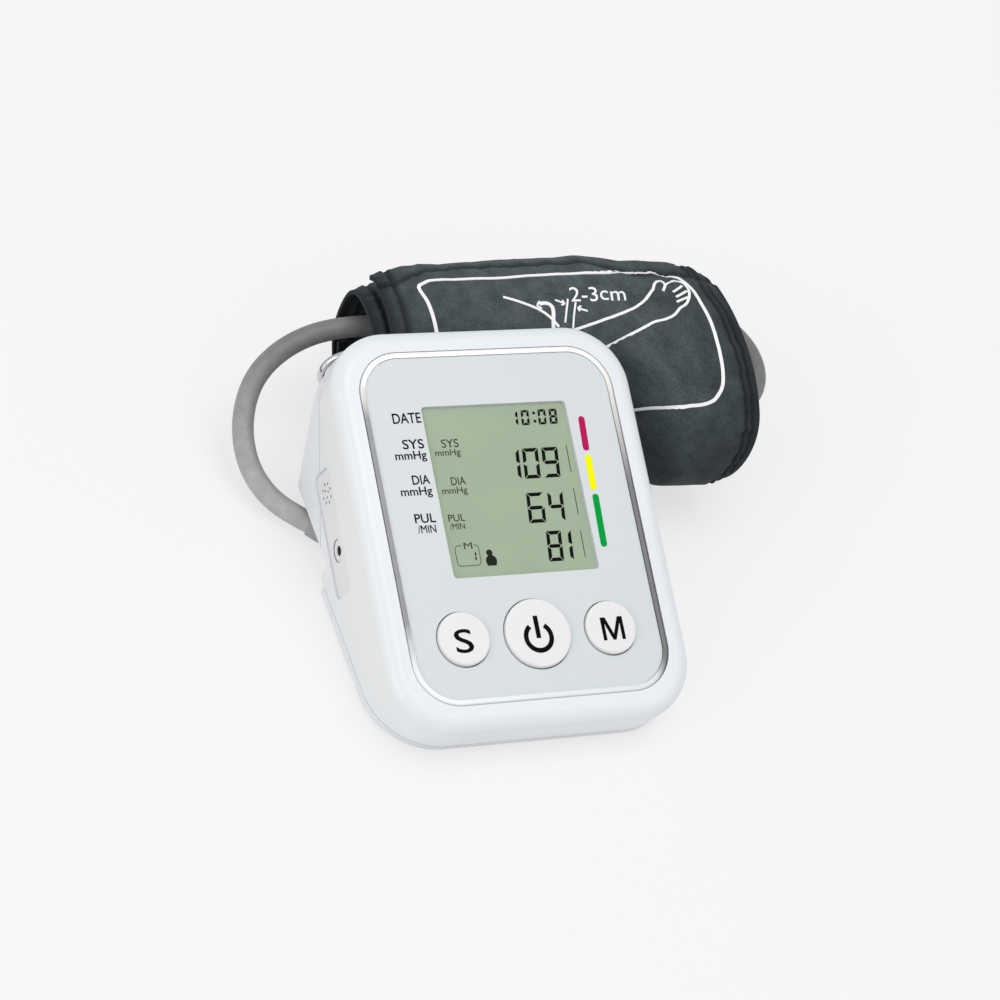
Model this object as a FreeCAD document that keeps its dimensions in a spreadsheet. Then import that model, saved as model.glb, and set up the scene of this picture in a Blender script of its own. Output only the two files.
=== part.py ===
"""Upper-arm blood pressure monitor with a rolled arm cuff, in millimetres.

The row frame has +Z up, +X to the monitor's right and +Y to its back. Its origin is on the table, in the
monitor's centre plane, in the middle of the base's front land. The sloping face has a frame of its own,
the face frame: x across, y up the slope from the case's front edge, z out of the face.
"""
import FreeCAD, Part
import math
import os
import re

import Sketcher

from FreeCAD import Placement, Rotation, Vector

SIZES = {
    # The case: a wedge with a sloping face, a flat front part and a raised rear part.
    "case_width": 95.0,
    "face_length": 120.5,
    "face_tilt": 20.0,
    "face_front_back": 18.9,
    "face_front_height": 16.3,
    "face_corner": 19.0,
    "face_round": 4.4,
    "wall": 2.2,
    "face_wall": 3.0,
    "side_clear": 1.0,
    "step_back": 47.5,
    "rear_lift": 10.0,
    "back_foot": 80.0,
    "back_lean": 18.7,
    "back_corner": 4.0,
    "crest_depth": 0.6,
    # The line where the two shells meet.
    "seam_height": 3.6,
    "seam_slope": 45.0,
    "seam_gap": 0.25,
    # The block that the monitor stands on, with the battery bay in it.
    "base_inset": 5.0,
    "base_front": 6.5,
    "base_back": 65.5,
    "base_corner": 6.0,
    "base_wall": 2.0,
    "floor_gap": 5.5,
    "bay_front": 6.0,
    "bay_length": 46.0,
    "contact_space": 3.25,
    "bay_height": 13.2,
    "bay_wall": 1.5,
    "door_gap": 0.4,
    "door_hinge_in": 1.6,
    "door_recess": 0.3,
    "door_thickness": 1.6,
    "door_pin": 0.6,
    "door_pin_length": 1.0,
    "cell_radius": 5.25,
    "cell_length": 44.5,
    "cell_cap": 1.0,
    "cell_nub": 2.2,
    "cell_pitch": 11.0,
    "cell_lift": 7.7,
    "contact_thickness": 0.5,
    "spring_radius": 3.6,
    "contact_inset": 1.0,
    "foot_radius": 4.0,
    "foot_depth": 1.2,
    "foot_inset": 7.5,
    "foot_front": 10.0,
    "foot_pitch": 27.0,
    # The face: recess, trim ring, panel and display window.
    "panel_width": 81.0,
    "panel_length": 105.8,
    "panel_low": 7.7,
    "panel_corner": 13.5,
    "recess_depth": 1.4,
    "trim_width": 1.7,
    "trim_round": 0.5,
    "panel_thickness": 1.0,
    "fit_gap": 0.1,
    "window_width": 45.9,
    "window_length": 51.5,
    "window_low": 45.0,
    "window_aside": 0.87,
    "window_corner": 1.2,
    "window_land": 0.9,
    "lens_thickness": 0.6,
    # The display stack behind the face wall.
    "glass_thickness": 2.4,
    "glass_border": 2.0,
    "frame_border": 2.2,
    "stack_depth": 7.5,
    "stack_gap": 0.1,
    "zebra_width": 1.6,
    "zebra_inset": 3.0,
    # The circuit board.
    "board_width": 70.0,
    "board_length": 94.0,
    "board_low": 10.0,
    "board_corner": 3.0,
    "board_thickness": 1.6,
    "board_hole_side": 3.7,
    "board_hole_inset": 4.0,
    "board_screw_radius": 1.2,
    "board_screw_length": 5.4,
    "board_screw_head": 2.4,
    "boss_radius": 3.0,
    "board_head_thickness": 1.5,
    "thread_gap": 0.05,
    "chip_size": 9.0,
    "chip_height": 1.4,
    "controller_low": 46.0,
    "driver_low": 50.0,
    "memory_low": 61.0,
    # The buttons.
    "button_low": 27.0,
    "button_pitch": 23.2,
    "power_radius": 10.2,
    "side_radius": 7.9,
    "button_gap": 0.35,
    "button_proud": 1.3,
    "button_round": 0.6,
    "button_travel": 0.8,
    "flange_width": 1.2,
    "flange_thickness": 0.8,
    "stem_radius": 2.0,
    "switch_size": 6.0,
    "switch_height": 2.0,
    "plunger_radius": 1.7,
    "plunger_height": 0.5,
    # The insert on the left wall, with the speaker and the power jack behind it.
    "port_low": 48.5,
    "port_length": 37.0,
    "port_depth": 14.9,
    "port_width": 11.4,
    "port_corner": 2.4,
    "port_sunk": 0.6,
    "port_lip": 1.2,
    "port_lip_thickness": 1.1,
    "jack_low": 61.6,
    "jack_ring": 3.3,
    "jack_sunk": 0.4,
    "jack_root": 0.5,
    "jack_bore": 1.5,
    "jack_bore_depth": 9.0,
    "jack_pin": 0.6,
    "jack_pin_length": 7.5,
    "jack_size": 8.4,
    "jack_length": 10.5,
    "speaker_low": 79.0,
    "speaker_radius": 5.2,
    "speaker_length": 3.4,
    "sound_hole": 0.45,
    "sound_ring": 2.9,
    "sound_inner": 1.15,
    # The screws that hold the shells together.
    "front_screw_x": 38.4,
    "front_screw_back": 1.0,
    "rear_screw_x": 40.4,
    "rear_screw_back": 72.8,
    "case_screw_radius": 1.4,
    "case_screw_head": 2.6,
    "case_screw_sink": 1.5,
    "case_screw_low": 0.3,
    "case_screw_reach": 9.0,
    # The pump, valve and air line.
    "pump_back": 67.4,
    "pump_height": 24.4,
    "pump_radius": 10.5,
    "motor_start": 6.0,
    "motor_length": 29.5,
    "head_length": 12.5,
    "cradle_thickness": 2.0,
    "cradle_height": 7.0,
    "cradle_inset": 4.0,
    "head_step": 0.4,
    "nozzle_radius": 1.0,
    "nozzle_length": 4.0,
    "tube_bore": 1.05,
    "tube_radius": 1.8,
    "tube_end": 0.2,
    "tube_seat": 0.3,
    "air_x": -31.5,
    "arm_length": 4.4,
    "manifold_radius": 1.9,
    "valve_width": 9.5,
    "valve_length": 12.0,
    "valve_height": 17.0,
    "valve_nozzle": 1.8,
    "sensor_bend": 30.0,
    "sensor_size": 6.6,
    "sensor_height": 3.4,
    "sensor_nozzle": 2.4,
    # The air socket in the base block's cut corner, and the plug in it.
    "socket_x": -35.8,
    "socket_back": 59.5,
    "socket_height": 4.9,
    "socket_angle": 52.0,
    "socket_radius": 3.8,
    "socket_length": 7.5,
    "socket_bore": 2.5,
    "socket_bore_depth": 5.3,
    "socket_riser_back": 55.1,
    "socket_riser_top": 12.6,
    "plug_radius": 4.2,
    "plug_gap": 0.15,
    "plug_length": 8.5,
    "plug_nose_gap": 0.06,
    "plug_nose_length": 4.9,
    "plug_relief_length": 3.6,
    "plug_relief_wall": 0.5,
    "hose_radius": 3.2,
    "hose_bore": 1.6,
    "hose_gap": 0.08,
    # The cuff: a roll of two laps behind the monitor, fuller beside the case than behind it.
    "cuff_left": -18.0,
    "cuff_beside": 26.0,
    "cuff_back": 138.4,
    "cuff_half_height": 25.2,
    "cuff_front": 62.5,
    "cuff_nest_gap": 2.65,
    "cuff_bulge_gap": 2.5,
    "cuff_bulge_length": 16.0,
    "lap_thickness": 4.2,
    "inner_lap_thickness": 4.0,
    "soft_gap": 0.35,
    "bladder_thickness": 2.0,
    "patch_thickness": 1.6,
    "binding_length": 2.6,
    "inner_lap_out": 6.0,
    "inner_lap_in": 4.0,
    "bladder_margin": 12.0,
    "bladder_top": 34.0,
    "patch_low": 36.0,
    # The metal ring in the roll's hollow and the cloth loop that holds it.
    "ring_wire": 1.1,
    "ring_out": 15.2,
    "ring_in": 10.0,
    "ring_width": 15.0,
    "ring_back": 106.0,
    "ring_height": 34.0,
    "tab_start": -16.0,
    "tab_length": 60.0,
    "tab_gap": 0.08,
    "tab_thickness": 1.2,
    # The elbow that joins the hose to the bladder.
    "elbow_lead": 1.0,
    "elbow_set_back": 20.5,
    "elbow_height": 26.5,
    "elbow_radius": 4.6,
    "elbow_length": 11.0,
    "elbow_sleeve": 4.0,
    "elbow_stub": 2.6,
    "elbow_flange": 4.4,
    "elbow_flange_thickness": 1.0,
    "elbow_flange_reach": 2.6,
    "elbow_reach": 13.0,
}

DERIVED = {
    "far": "case_width + face_length",
    "inner_floor": "rear_lift + wall",
    "recess_floor": "0 - recess_depth",
    "stack_top": "0 - face_wall - stack_gap",
    "board_top": "0 - stack_depth",
    "board_under": "0 - stack_depth - board_thickness",
    "board_hole_x": "board_width / 2 - board_hole_side",
    "port_centre": "0 - port_depth - port_width / 2",
    "wall_outside": "0 - case_width / 2",
    "wall_inside": "0 - case_width / 2 + wall",
    "port_face": "0 - case_width / 2 + port_sunk",
    "port_inside": "0 - case_width / 2 + wall + fit_gap + port_lip_thickness",
    "base_half": "case_width / 2 - base_inset",
    "top_edge_back": "face_length * cos(face_tilt) - face_front_back",
    "top_edge_height": "face_length * sin(face_tilt) + face_front_height",
    "top_edge_out": "(top_edge_back - back_foot) * cos(back_lean)"
                    " - (top_edge_height - rear_lift) * sin(back_lean)",
    "crest_back": "top_edge_back - top_edge_out / sin(face_tilt + back_lean) * sin(face_tilt)",
    "bay_width": "cell_length + 2 * contact_space",
    "bay_half": "cell_length / 2 + contact_space",
    "cell_front": "bay_front + bay_length / 2 - cell_pitch * 1.5",
    "head_start": "motor_start - head_length",
    "valve_right": "motor_start - head_length - 2 * nozzle_length",
    "roll_nest": "back_foot + (cuff_half_height - rear_lift) * tan(back_lean) + cuff_nest_gap",
    "bulge_start": "case_width / 2 + cuff_bulge_gap",
    "bulge_end": "case_width / 2 + cuff_bulge_gap + cuff_bulge_length",
    "cuff_right": "case_width / 2 + cuff_bulge_gap + cuff_bulge_length + cuff_beside",
    "ring_left": "cuff_left - ring_out",
    "ring_right": "case_width / 2 + cuff_bulge_gap + cuff_bulge_length + cuff_beside - ring_in",
    "elbow_x": "case_width / 2 + cuff_bulge_gap + cuff_bulge_length - elbow_lead",
    "elbow_back": "cuff_front + elbow_set_back",
    "layer_top": "lap_thickness + soft_gap",
    "inner_top": "lap_thickness + soft_gap + bladder_thickness + soft_gap",
    "hollow_inset": "lap_thickness + 2 * soft_gap + bladder_thickness + inner_lap_thickness",
}

TO_X = Rotation(Vector(0, 1, 0), 90)
TO_Y = Rotation(Vector(1, 0, 0), -90)

doc = FreeCAD.newDocument("pressure_monitor")
sheet = doc.addObject("Spreadsheet::Sheet", "Sizes")
for row, (alias, amount) in enumerate(SIZES.items(), start=1):
    sheet.set(f"A{row}", alias)
    sheet.set(f"B{row}", str(amount))
    sheet.setAlias(f"B{row}", alias)
doc.recompute()

nodes = {}


def size(alias):
    """A size read back from the sheet."""
    return float(getattr(sheet, alias))


def formula(text):
    """An expression in which each size's name points at its cell."""
    def point(match):
        word = match.group(0)
        if word in SIZES:
            return f"Sizes.{word}"
        if word in DERIVED:
            return f"({formula(DERIVED[word])})"
        return word
    return re.sub(r"[a-z][a-z_]*", point, str(text))


def move(shape, corner):
    """Binds where a shape's own origin lies."""
    for axis, text in zip("xyz", corner):
        shape.setExpression(f"Placement.Base.{axis}", formula(text))
    return shape


def box(corner, lengths, rotation=None):
    """A block, from its lowest corner and its lengths along x, y and z."""
    shape = doc.addObject("Part::Box", "block")
    if rotation:
        shape.Placement = Placement(Vector(), rotation)
    for side, text in zip(("Length", "Width", "Height"), lengths):
        shape.setExpression(side, formula(text))
    return move(shape, corner)


def rod(start, radius, length, rotation=None):
    """A round bar that runs along z, or along the axis that the rotation turns z to."""
    shape = doc.addObject("Part::Cylinder", "rod")
    if rotation:
        shape.Placement = Placement(Vector(), rotation)
    shape.setExpression("Radius", formula(radius))
    shape.setExpression("Height", formula(length))
    return move(shape, start)


def cone(start, low_radius, high_radius, length, rotation=None):
    """A tapered round bar."""
    shape = doc.addObject("Part::Cone", "taper")
    if rotation:
        shape.Placement = Placement(Vector(), rotation)
    shape.setExpression("Radius1", formula(low_radius))
    shape.setExpression("Radius2", formula(high_radius))
    shape.setExpression("Height", formula(length))
    return move(shape, start)


def ball(centre, radius):
    """A sphere."""
    shape = doc.addObject("Part::Sphere", "ball")
    shape.setExpression("Radius", formula(radius))
    return move(shape, centre)


def cut(base, *tools):
    """The base without the tools."""
    shape = doc.addObject("Part::Cut", "cut")
    shape.Base = base
    shape.Tool = tools[0] if len(tools) == 1 else fuse(*tools)
    return shape


def fuse(*parts):
    """Several solids made one, or kept as several where they lie apart."""
    shape = doc.addObject("Part::MultiFuse", "joined")
    shape.Shapes = list(parts)
    shape.Refine = True
    return shape


def common(*parts):
    """What all of the solids share."""
    shape = doc.addObject("Part::MultiCommon", "shared")
    shape.Shapes = list(parts)
    return shape


def origin_plane(body, role):
    """One of a body's own base planes."""
    return next(part for part in body.Origin.OriginFeatures if part.Role == role)


def plate(width, length, height, corner, place, edge_round=None):
    """A flat body with rounded corners. Its low edge's middle is at the place, and it is raised along z."""
    body = doc.addObject("PartDesign::Body", "plate")
    outline = body.newObject("Sketcher::SketchObject", "outline")
    outline.AttachmentSupport = [(origin_plane(body, "XY_Plane"), "")]
    outline.MapMode = "FlatFace"
    half, run = 10.0, 20.0
    corners = [Vector(-half, 0, 0), Vector(half, 0, 0), Vector(half, run, 0), Vector(-half, run, 0)]
    for index, start in enumerate(corners):
        outline.addGeometry(Part.LineSegment(start, corners[(index + 1) % 4]), False)
    for index in range(4):
        outline.addConstraint(Sketcher.Constraint("Coincident", index, 2, (index + 1) % 4, 1))
    for index in (0, 2):
        outline.addConstraint(Sketcher.Constraint("Horizontal", index))
    for index in (1, 3):
        outline.addConstraint(Sketcher.Constraint("Vertical", index))
    outline.addConstraint(Sketcher.Constraint("Symmetric", 0, 1, 0, 2, -1, 1))
    across = outline.addConstraint(Sketcher.Constraint("DistanceX", 0, 1, 0, 2, 2 * half))
    along = outline.addConstraint(Sketcher.Constraint("DistanceY", 1, 1, 1, 2, run))
    outline.setExpression(f"Constraints[{across}]", formula(width))
    outline.setExpression(f"Constraints[{along}]", formula(length))
    pad = body.newObject("PartDesign::Pad", "thickness")
    pad.Profile = outline
    pad.setExpression("Length", formula(height))
    doc.recompute()
    upright = [f"Edge{number}" for number, edge in enumerate(pad.Shape.Edges, start=1)
               if abs(edge.BoundBox.ZLength) > 1e-6]
    fillet = body.newObject("PartDesign::Fillet", "corners")
    fillet.Base = (pad, upright)
    fillet.setExpression("Radius", formula(corner))
    body.Tip = fillet
    if edge_round:
        doc.recompute()
        top = fillet.Shape.BoundBox.ZMax
        rim = [f"Edge{number}" for number, edge in enumerate(fillet.Shape.Edges, start=1)
               if edge.BoundBox.ZMin > top - 1e-4]
        soft = body.newObject("PartDesign::Fillet", "rim")
        soft.Base = (fillet, rim)
        soft.setExpression("Radius", formula(edge_round))
        body.Tip = soft
    return move(body, place)


def on_face(*parts):
    """Solids laid out in the face frame, set on the case's slope."""
    group = doc.addObject("Part::Compound", "on_face")
    group.Links = list(parts)
    place = "vector(0; 0 - face_front_back; face_front_height)"
    group.setExpression("Placement", formula(f"placement({place}; rotation(vector(1; 0; 0); face_tilt))"))
    return group


def keep(name, *parts):
    """Names a finished sub-part. Several solids in one sub-part stay separate."""
    if len(parts) == 1:
        node = parts[0]
    else:
        node = doc.addObject("Part::Compound", name)
        node.Links = list(parts)
    node.Label = name
    nodes[name] = node
    return node


def face_point(across, up, out):
    """A point of the face frame, in the row frame."""
    tilt = math.radians(size("face_tilt"))
    return Vector(
        across,
        up * math.cos(tilt) - out * math.sin(tilt) - size("face_front_back"),
        up * math.sin(tilt) + out * math.cos(tilt) + size("face_front_height"),
    )


def roll_solid(inset, start, end):
    """The roll's form, smaller all round by an inset, between two places along x."""
    before = "bulge_start"
    after = "bulge_end"
    low, high = size_of(start), size_of(end)
    stops = [(start, "behind" if low < size_of(before) else "beside")]
    if low < size_of(before) < high:
        stops.append((before, "behind"))
    if low < size_of(after) < high:
        stops.append((after, "beside"))
    stops.append((end, "behind" if high <= size_of(before) else "beside"))
    fronts = {"behind": "roll_nest", "beside": "cuff_front"}
    sections = []
    for across, kind in stops:
        ring = doc.addObject("Part::Ellipse", "section")
        ring.Placement = Placement(Vector(), Rotation(Vector(1, 1, 1), 120))
        ring.setExpression("MajorRadius", formula(f"(cuff_back - {fronts[kind]}) / 2 - ({inset})"))
        ring.setExpression("MinorRadius", formula(f"cuff_half_height - ({inset})"))
        move(ring, (across, f"(cuff_back + {fronts[kind]}) / 2", "cuff_half_height"))
        sections.append(ring)
    form = doc.addObject("Part::Loft", "roll")
    form.Sections = sections
    form.Solid = True
    form.Ruled = True
    return form


def size_of(text):
    """What an expression of sizes comes to."""
    probe.setExpression("Length", formula(f"far + ({text})"))
    doc.recompute()
    return float(probe.Length) - size("case_width") - size("face_length")


def layer(start, end, outer_inset, inner_inset):
    """One layer of the roll: a long ring."""
    return cut(roll_solid(outer_inset, start, end),
               roll_solid(inner_inset, f"({start}) - 1", f"({end}) + 1"))


def route_pieces(points):
    """The straight runs and tangent arcs along a line of corners, with each arc's radius."""
    runs = [(after - before).Length for before, after in zip(points, points[1:])]
    edges, radii, last = [], [], points[0]
    for index in range(1, len(points) - 1):
        into = (points[index] - points[index - 1]).normalize()
        out = (points[index + 1] - points[index]).normalize()
        turn = into.getAngle(out)
        cut_back = 0.45 * min(runs[index - 1], runs[index])
        radii.append(cut_back / math.tan(turn / 2))
        begin = points[index] - into * cut_back
        finish = points[index] + out * cut_back
        bulge = (out - into).normalize()
        centre = points[index] + bulge * (radii[-1] / math.cos(turn / 2))
        middle = centre - bulge * radii[-1]
        edges.append(Part.makeLine(last, begin))
        edges.append(Part.Arc(begin, middle, finish).toShape())
        last = finish
    edges.append(Part.makeLine(last, points[-1]))
    return edges, radii


def tube(name, points, outer_radius, bore_radius):
    """A hollow round tube along a line of corners."""
    corners = [Vector(*(size_of(part) if isinstance(part, str) else part for part in point))
               for point in points]
    edges, radii = route_pieces(corners)
    spine = Part.Wire(edges)
    start = (corners[1] - corners[0]).normalize()
    walls = []
    for radius in (outer_radius, bore_radius):
        ring = Part.Wire([Part.makeCircle(radius, corners[0], start)])
        walls.append(spine.makePipeShell([ring], True, False))
    shape = doc.addObject("Part::Feature", name)
    shape.Shape = walls[0].cut(walls[1])
    section = math.pi * (outer_radius ** 2 - bore_radius ** 2)
    tightest = min(radii) if radii else 0
    print(f"{name}: length {spine.Length:.1f}, tightest radius {tightest:.1f}, "
          f"volume {shape.Shape.Volume:.0f} of {section * spine.Length:.0f}")
    return shape


probe = box(("0", "0", "0"), ("1", "1", "1"))
probe.Label = "probe"


# The case -------------------------------------------------------------------------------------------

def case_form(inset, top_depth, rounded):
    """The wedge of the case, or of its hollow when inset is the wall's thickness."""
    slope = on_face(plate(
        f"case_width - 2 * ({inset})", f"face_length - 2 * ({inset})", "far",
        f"face_corner - ({inset})", ("0", inset, f"0 - far - ({top_depth})"),
        "face_round" if rounded else None,
    ))
    run = "2 * far"
    back = plate(f"case_width - 2 * ({inset})", run, run, f"back_corner - ({inset}) / 2", ("0", "0", "0"))
    back.Placement = Placement(Vector(), Rotation(Vector(1, 0, 0), -size("back_lean")))
    move(back, (
        "0",
        f"back_foot - ({run} + ({inset})) * cos(back_lean) - far * sin(back_lean)",
        f"rear_lift + ({run} + ({inset})) * sin(back_lean) - far * cos(back_lean)",
    ))
    under_rear = box(("0 - far", f"step_back - ({inset})", "0 - far"),
                     ("2 * far", "far", f"far + rear_lift + ({inset})"))
    under_front = box(("0 - far", "0 - far", "0 - far"),
                      ("2 * far", "2 * far", f"far + side_clear + ({inset})"))
    crest = box(("0 - far", f"crest_back - crest_depth - ({inset})", "0"), ("2 * far", "far", "far"))
    return cut(common(slope, back), under_rear, under_front, crest)


outer = case_form("0", "0", True)
hollow = case_form("wall", "face_wall", False)
shell = cut(outer, hollow)


def seam_region(gap):
    """Everything under the line where the shells meet."""
    floor = box(("0 - far", "0 - far", "0 - far"), ("2 * far", "3 * far", f"far + seam_height + {gap}"))
    wedge = box(("0 - far", f"step_back - {gap} + far * sin(seam_slope)",
                 f"seam_height + {gap} - far * cos(seam_slope)"),
                ("2 * far", "2 * far", "far"), Rotation(Vector(1, 0, 0), size("seam_slope")))
    return fuse(floor, wedge)


def window_plate(border, low, thickness):
    """A plate that is wider than the display window by a border, in the face frame."""
    return plate(f"window_width + 2 * ({border})", f"window_length + 2 * ({border})", thickness,
                 "window_corner", ("window_aside", f"window_low - ({border})", low))


BUTTONS = {
    "set_button": ("0 - button_pitch", "side_radius"),
    "power_button": ("0", "power_radius"),
    "memory_button": ("button_pitch", "side_radius"),
}


def button_holes():
    """Round holes for the three buttons."""
    return [rod((across, "button_low", "0 - far / 2"), f"{radius} + button_gap", "far")
            for across, radius in BUTTONS.values()]


board_places = [
    (f"{side} * board_hole_x", up) for side in (-1, 1)
    for up in ("board_low + board_hole_inset", "board_low + board_length - board_hole_inset")
]
front_screws = [(f"{side} * front_screw_x", "front_screw_back", "0") for side in (-1, 1)]
rear_screws = [(f"{side} * rear_screw_x", "rear_screw_back", "rear_lift") for side in (-1, 1)]
case_screws = front_screws + rear_screws


def port_plate(border, start, thickness):
    """A plate on the left wall, larger than its opening by a border, in the face frame."""
    turned = plate(f"port_width + 2 * ({border})", f"port_length + 2 * ({border})", thickness,
                   f"port_corner + ({border})", ("0", "0", "0"))
    turned.Placement = Placement(Vector(), TO_X)
    return move(turned, (start, f"port_low - ({border})", "port_centre"))


recess = plate("panel_width", "panel_length", "far", "panel_corner", ("0", "panel_low", "recess_floor"))
board_bosses = [
    cut(rod((across, up, "board_top"), "boss_radius", "stack_depth - face_wall + 0.5"),
        rod((across, up, "board_top - 1"), "board_screw_radius", "stack_depth - face_wall + 0.6"))
    for across, up in board_places
]
case_bosses = [
    cut(rod((across, back, boss_low), "boss_radius", "far"),
        rod((across, back, "0"), "case_screw_radius", f"{screw_low} + case_screw_reach + 1"))
    for (across, back, screw_low), boss_low in zip(
        case_screws, 2 * ["seam_height + seam_gap"] + 2 * ["inner_floor + seam_gap"])
]
face_cuts = on_face(recess, window_plate("0 - window_land", "0 - far / 4", "far / 2"),
                    *button_holes(), port_plate("fit_gap", "wall_outside - 1", "far / 20"))


def floor_zone(gap):
    """The raised floor and its step, between the side walls: all of it belongs to the rear shell."""
    return box((f"wall_inside - ({gap})", f"step_back - wall - ({gap})", "0 - far"),
               (f"case_width - 2 * wall + 2 * ({gap})", "far", f"far + inner_floor + ({gap})"))


front_walls = cut(shell, seam_region("seam_gap"), floor_zone("0"))
front_bosses = [on_face(*board_bosses), common(outer, fuse(*case_bosses))]
keep("front_shell", cut(fuse(front_walls, *front_bosses), face_cuts))

# The rear shell: the floor, the raised rear part and the base block with the battery bay.
socket_turn = Rotation(Vector(0, 0, 1), size("socket_angle"))
socket_aim = socket_turn.multiply(TO_Y)


def along_socket(distance, height="socket_height"):
    """A point on the air socket's axis, a distance out of the cut corner."""
    return (f"socket_x - ({distance}) * sin(socket_angle)",
            f"socket_back + ({distance}) * cos(socket_angle)", height)


def corner_slab(depth, thickness):
    """A slab that lies along the cut corner of the base block, from a depth outwards."""
    start, back, _ = along_socket(f"0 - ({depth})")
    return box((f"{start} - far * cos(socket_angle)", f"{back} - far * sin(socket_angle)", "0 - far"),
               ("2 * far", thickness, "far + rear_lift"), socket_turn)


base_block = plate("2 * base_half", "base_front + base_back", "inner_floor", "base_corner",
                   ("0", "0 - base_front", "0"))
base_space = plate("2 * base_half - 2 * base_wall", "base_front + base_back - 2 * base_wall", "far",
                   "base_corner - base_wall / 2", ("0", "base_wall - base_front", "base_wall"))
floor_space = common(base_space, box(("0 - far", "0 - far", "0"),
                                     ("2 * far", "far + bay_front + bay_length + floor_gap", "far / 5")))
bay_block = box(("0 - bay_half - bay_wall", "bay_front - bay_wall", "0"),
                ("bay_width + 2 * bay_wall", "bay_length + 2 * bay_wall", "bay_height + bay_wall"))
bay_space = box(("0 - bay_half", "bay_front", "0 - 1"), ("bay_width", "bay_length", "bay_height + 1"))
door_pins = rod(("0 - bay_half - door_pin_length - fit_gap", "bay_front + door_hinge_in",
                 "door_recess + door_thickness / 2"), "door_pin + fit_gap",
                "bay_width + 2 * door_pin_length + 2 * fit_gap", TO_X)
cradle = [
    box((start, "pump_back - pump_radius - 1", "inner_floor - 0.5"),
        ("cradle_thickness", "2 * pump_radius", "cradle_height"))
    for start in ("motor_start + cradle_inset",
                  "motor_start + motor_length - cradle_inset - cradle_thickness")
]
pump_space = rod(("0 - far / 2", "pump_back", "pump_height"), "pump_radius + fit_gap", "far", TO_X)
screw_cuts = [part for across, back, low in case_screws for part in (
    rod((across, back, f"{low} - 1"), "case_screw_radius + fit_gap", "inner_floor"),
    rod((across, back, f"{low} - 1"), "case_screw_head + fit_gap", "case_screw_sink + 1"),
)]
screw_posts = [rod((across, back, "0"), "boss_radius + 1", "seam_height")
               for across, back, _ in front_screws]
start, back, height = along_socket("0 - socket_length - seam_gap")
socket_hole = rod((start, back, height), "socket_radius + fit_gap", "far / 6", socket_aim)
foot_places = [(f"{side} * (base_half - foot_inset)", foot_back) for side in (-1, 1)
               for foot_back in ("foot_front", "foot_front + foot_pitch")]
foot_holes = [rod((across, back, "0 - 1"), "foot_radius + fit_gap", "foot_depth + 1")
              for across, back in foot_places]
corner_wall = common(base_block, corner_slab("base_wall", "base_wall"))
block_walls = cut(fuse(cut(base_block, base_space), corner_wall), hollow)
rear_walls = cut(common(shell, fuse(seam_region("0"), floor_zone("0 - seam_gap"))), floor_space)
rear_raw = fuse(rear_walls, block_walls, bay_block, *screw_posts, cut(fuse(*cradle), pump_space))
port_opening = on_face(port_plate("fit_gap", "wall_outside - 1", "far / 20"),
                       port_plate("port_lip + fit_gap", "wall_inside", "port_lip_thickness + 3 * fit_gap"))
keep("rear_shell", cut(rear_raw, bay_space, door_pins, corner_slab("0", "far"), socket_hole, port_opening,
                       *screw_cuts, *foot_holes))
keep("rubber_feet", *[rod((across, back, "0"), "foot_radius", "foot_depth") for across, back in foot_places])
keep("case_screws", *[fuse(
    rod((across, back, f"{low} + case_screw_low"), "case_screw_head", "case_screw_sink - case_screw_low"),
    rod((across, back, f"{low} + case_screw_low"), "case_screw_radius - thread_gap",
        "case_screw_reach - case_screw_low"),
) for across, back, low in case_screws])

# The face -------------------------------------------------------------------------------------------

trim_outer = plate("panel_width - 2 * fit_gap", "panel_length - 2 * fit_gap", "recess_depth",
                   "panel_corner - fit_gap", ("0", "panel_low + fit_gap", "recess_floor"), "trim_round")
trim_inner = plate("panel_width - 2 * fit_gap - 2 * trim_width",
                   "panel_length - 2 * fit_gap - 2 * trim_width",
                   "4 * recess_depth", "panel_corner - fit_gap - trim_width",
                   ("0", "panel_low + fit_gap + trim_width", "2 * recess_floor"))
keep("face_trim", on_face(cut(trim_outer, trim_inner)))
panel_blank = plate("panel_width - 4 * fit_gap - 2 * trim_width",
                    "panel_length - 4 * fit_gap - 2 * trim_width",
                    "panel_thickness", "panel_corner - 2 * fit_gap - trim_width",
                    ("0", "panel_low + 2 * fit_gap + trim_width", "recess_floor"))
keep("face_panel", on_face(cut(panel_blank, window_plate("fit_gap", "0 - far / 4", "far / 2"),
                               *button_holes())))
keep("lcd_window", on_face(window_plate("0", "recess_floor", "lens_thickness")))
glass = window_plate("glass_border", "stack_top - glass_thickness", "glass_thickness")
keep("lcd_glass", on_face(glass))
frame_blank = window_plate("glass_border + frame_border", "0 - stack_depth + stack_gap",
                           "stack_depth - face_wall - 2 * stack_gap")
frame_pocket = window_plate("glass_border + fit_gap", "stack_top - glass_thickness - fit_gap", "far")
frame_light = window_plate("0 - 2 * frame_border", "0 - far / 4", "far / 2")
zebras = []
zebra_slots = []
for side_low in ("window_low - zebra_width / 2", "window_low + window_length - zebra_width / 2"):
    bar_low = ("window_aside - window_width / 2 + zebra_inset", side_low, "0 - stack_depth + stack_gap / 2")
    zebras.append(box(bar_low, ("window_width - 2 * zebra_inset", "zebra_width",
                                "stack_depth + stack_top - glass_thickness - stack_gap")))
    slot_low = (f"{bar_low[0]} - fit_gap", f"{side_low} - fit_gap", "0 - far / 4")
    zebra_slots.append(box(slot_low, ("window_width - 2 * zebra_inset + 2 * fit_gap",
                                      "zebra_width + 2 * fit_gap", "far / 2")))
keep("lcd_frame", on_face(cut(frame_blank, frame_pocket, frame_light, *zebra_slots)))
keep("zebra_strips", on_face(*zebras))

# The circuit board ----------------------------------------------------------------------------------

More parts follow.
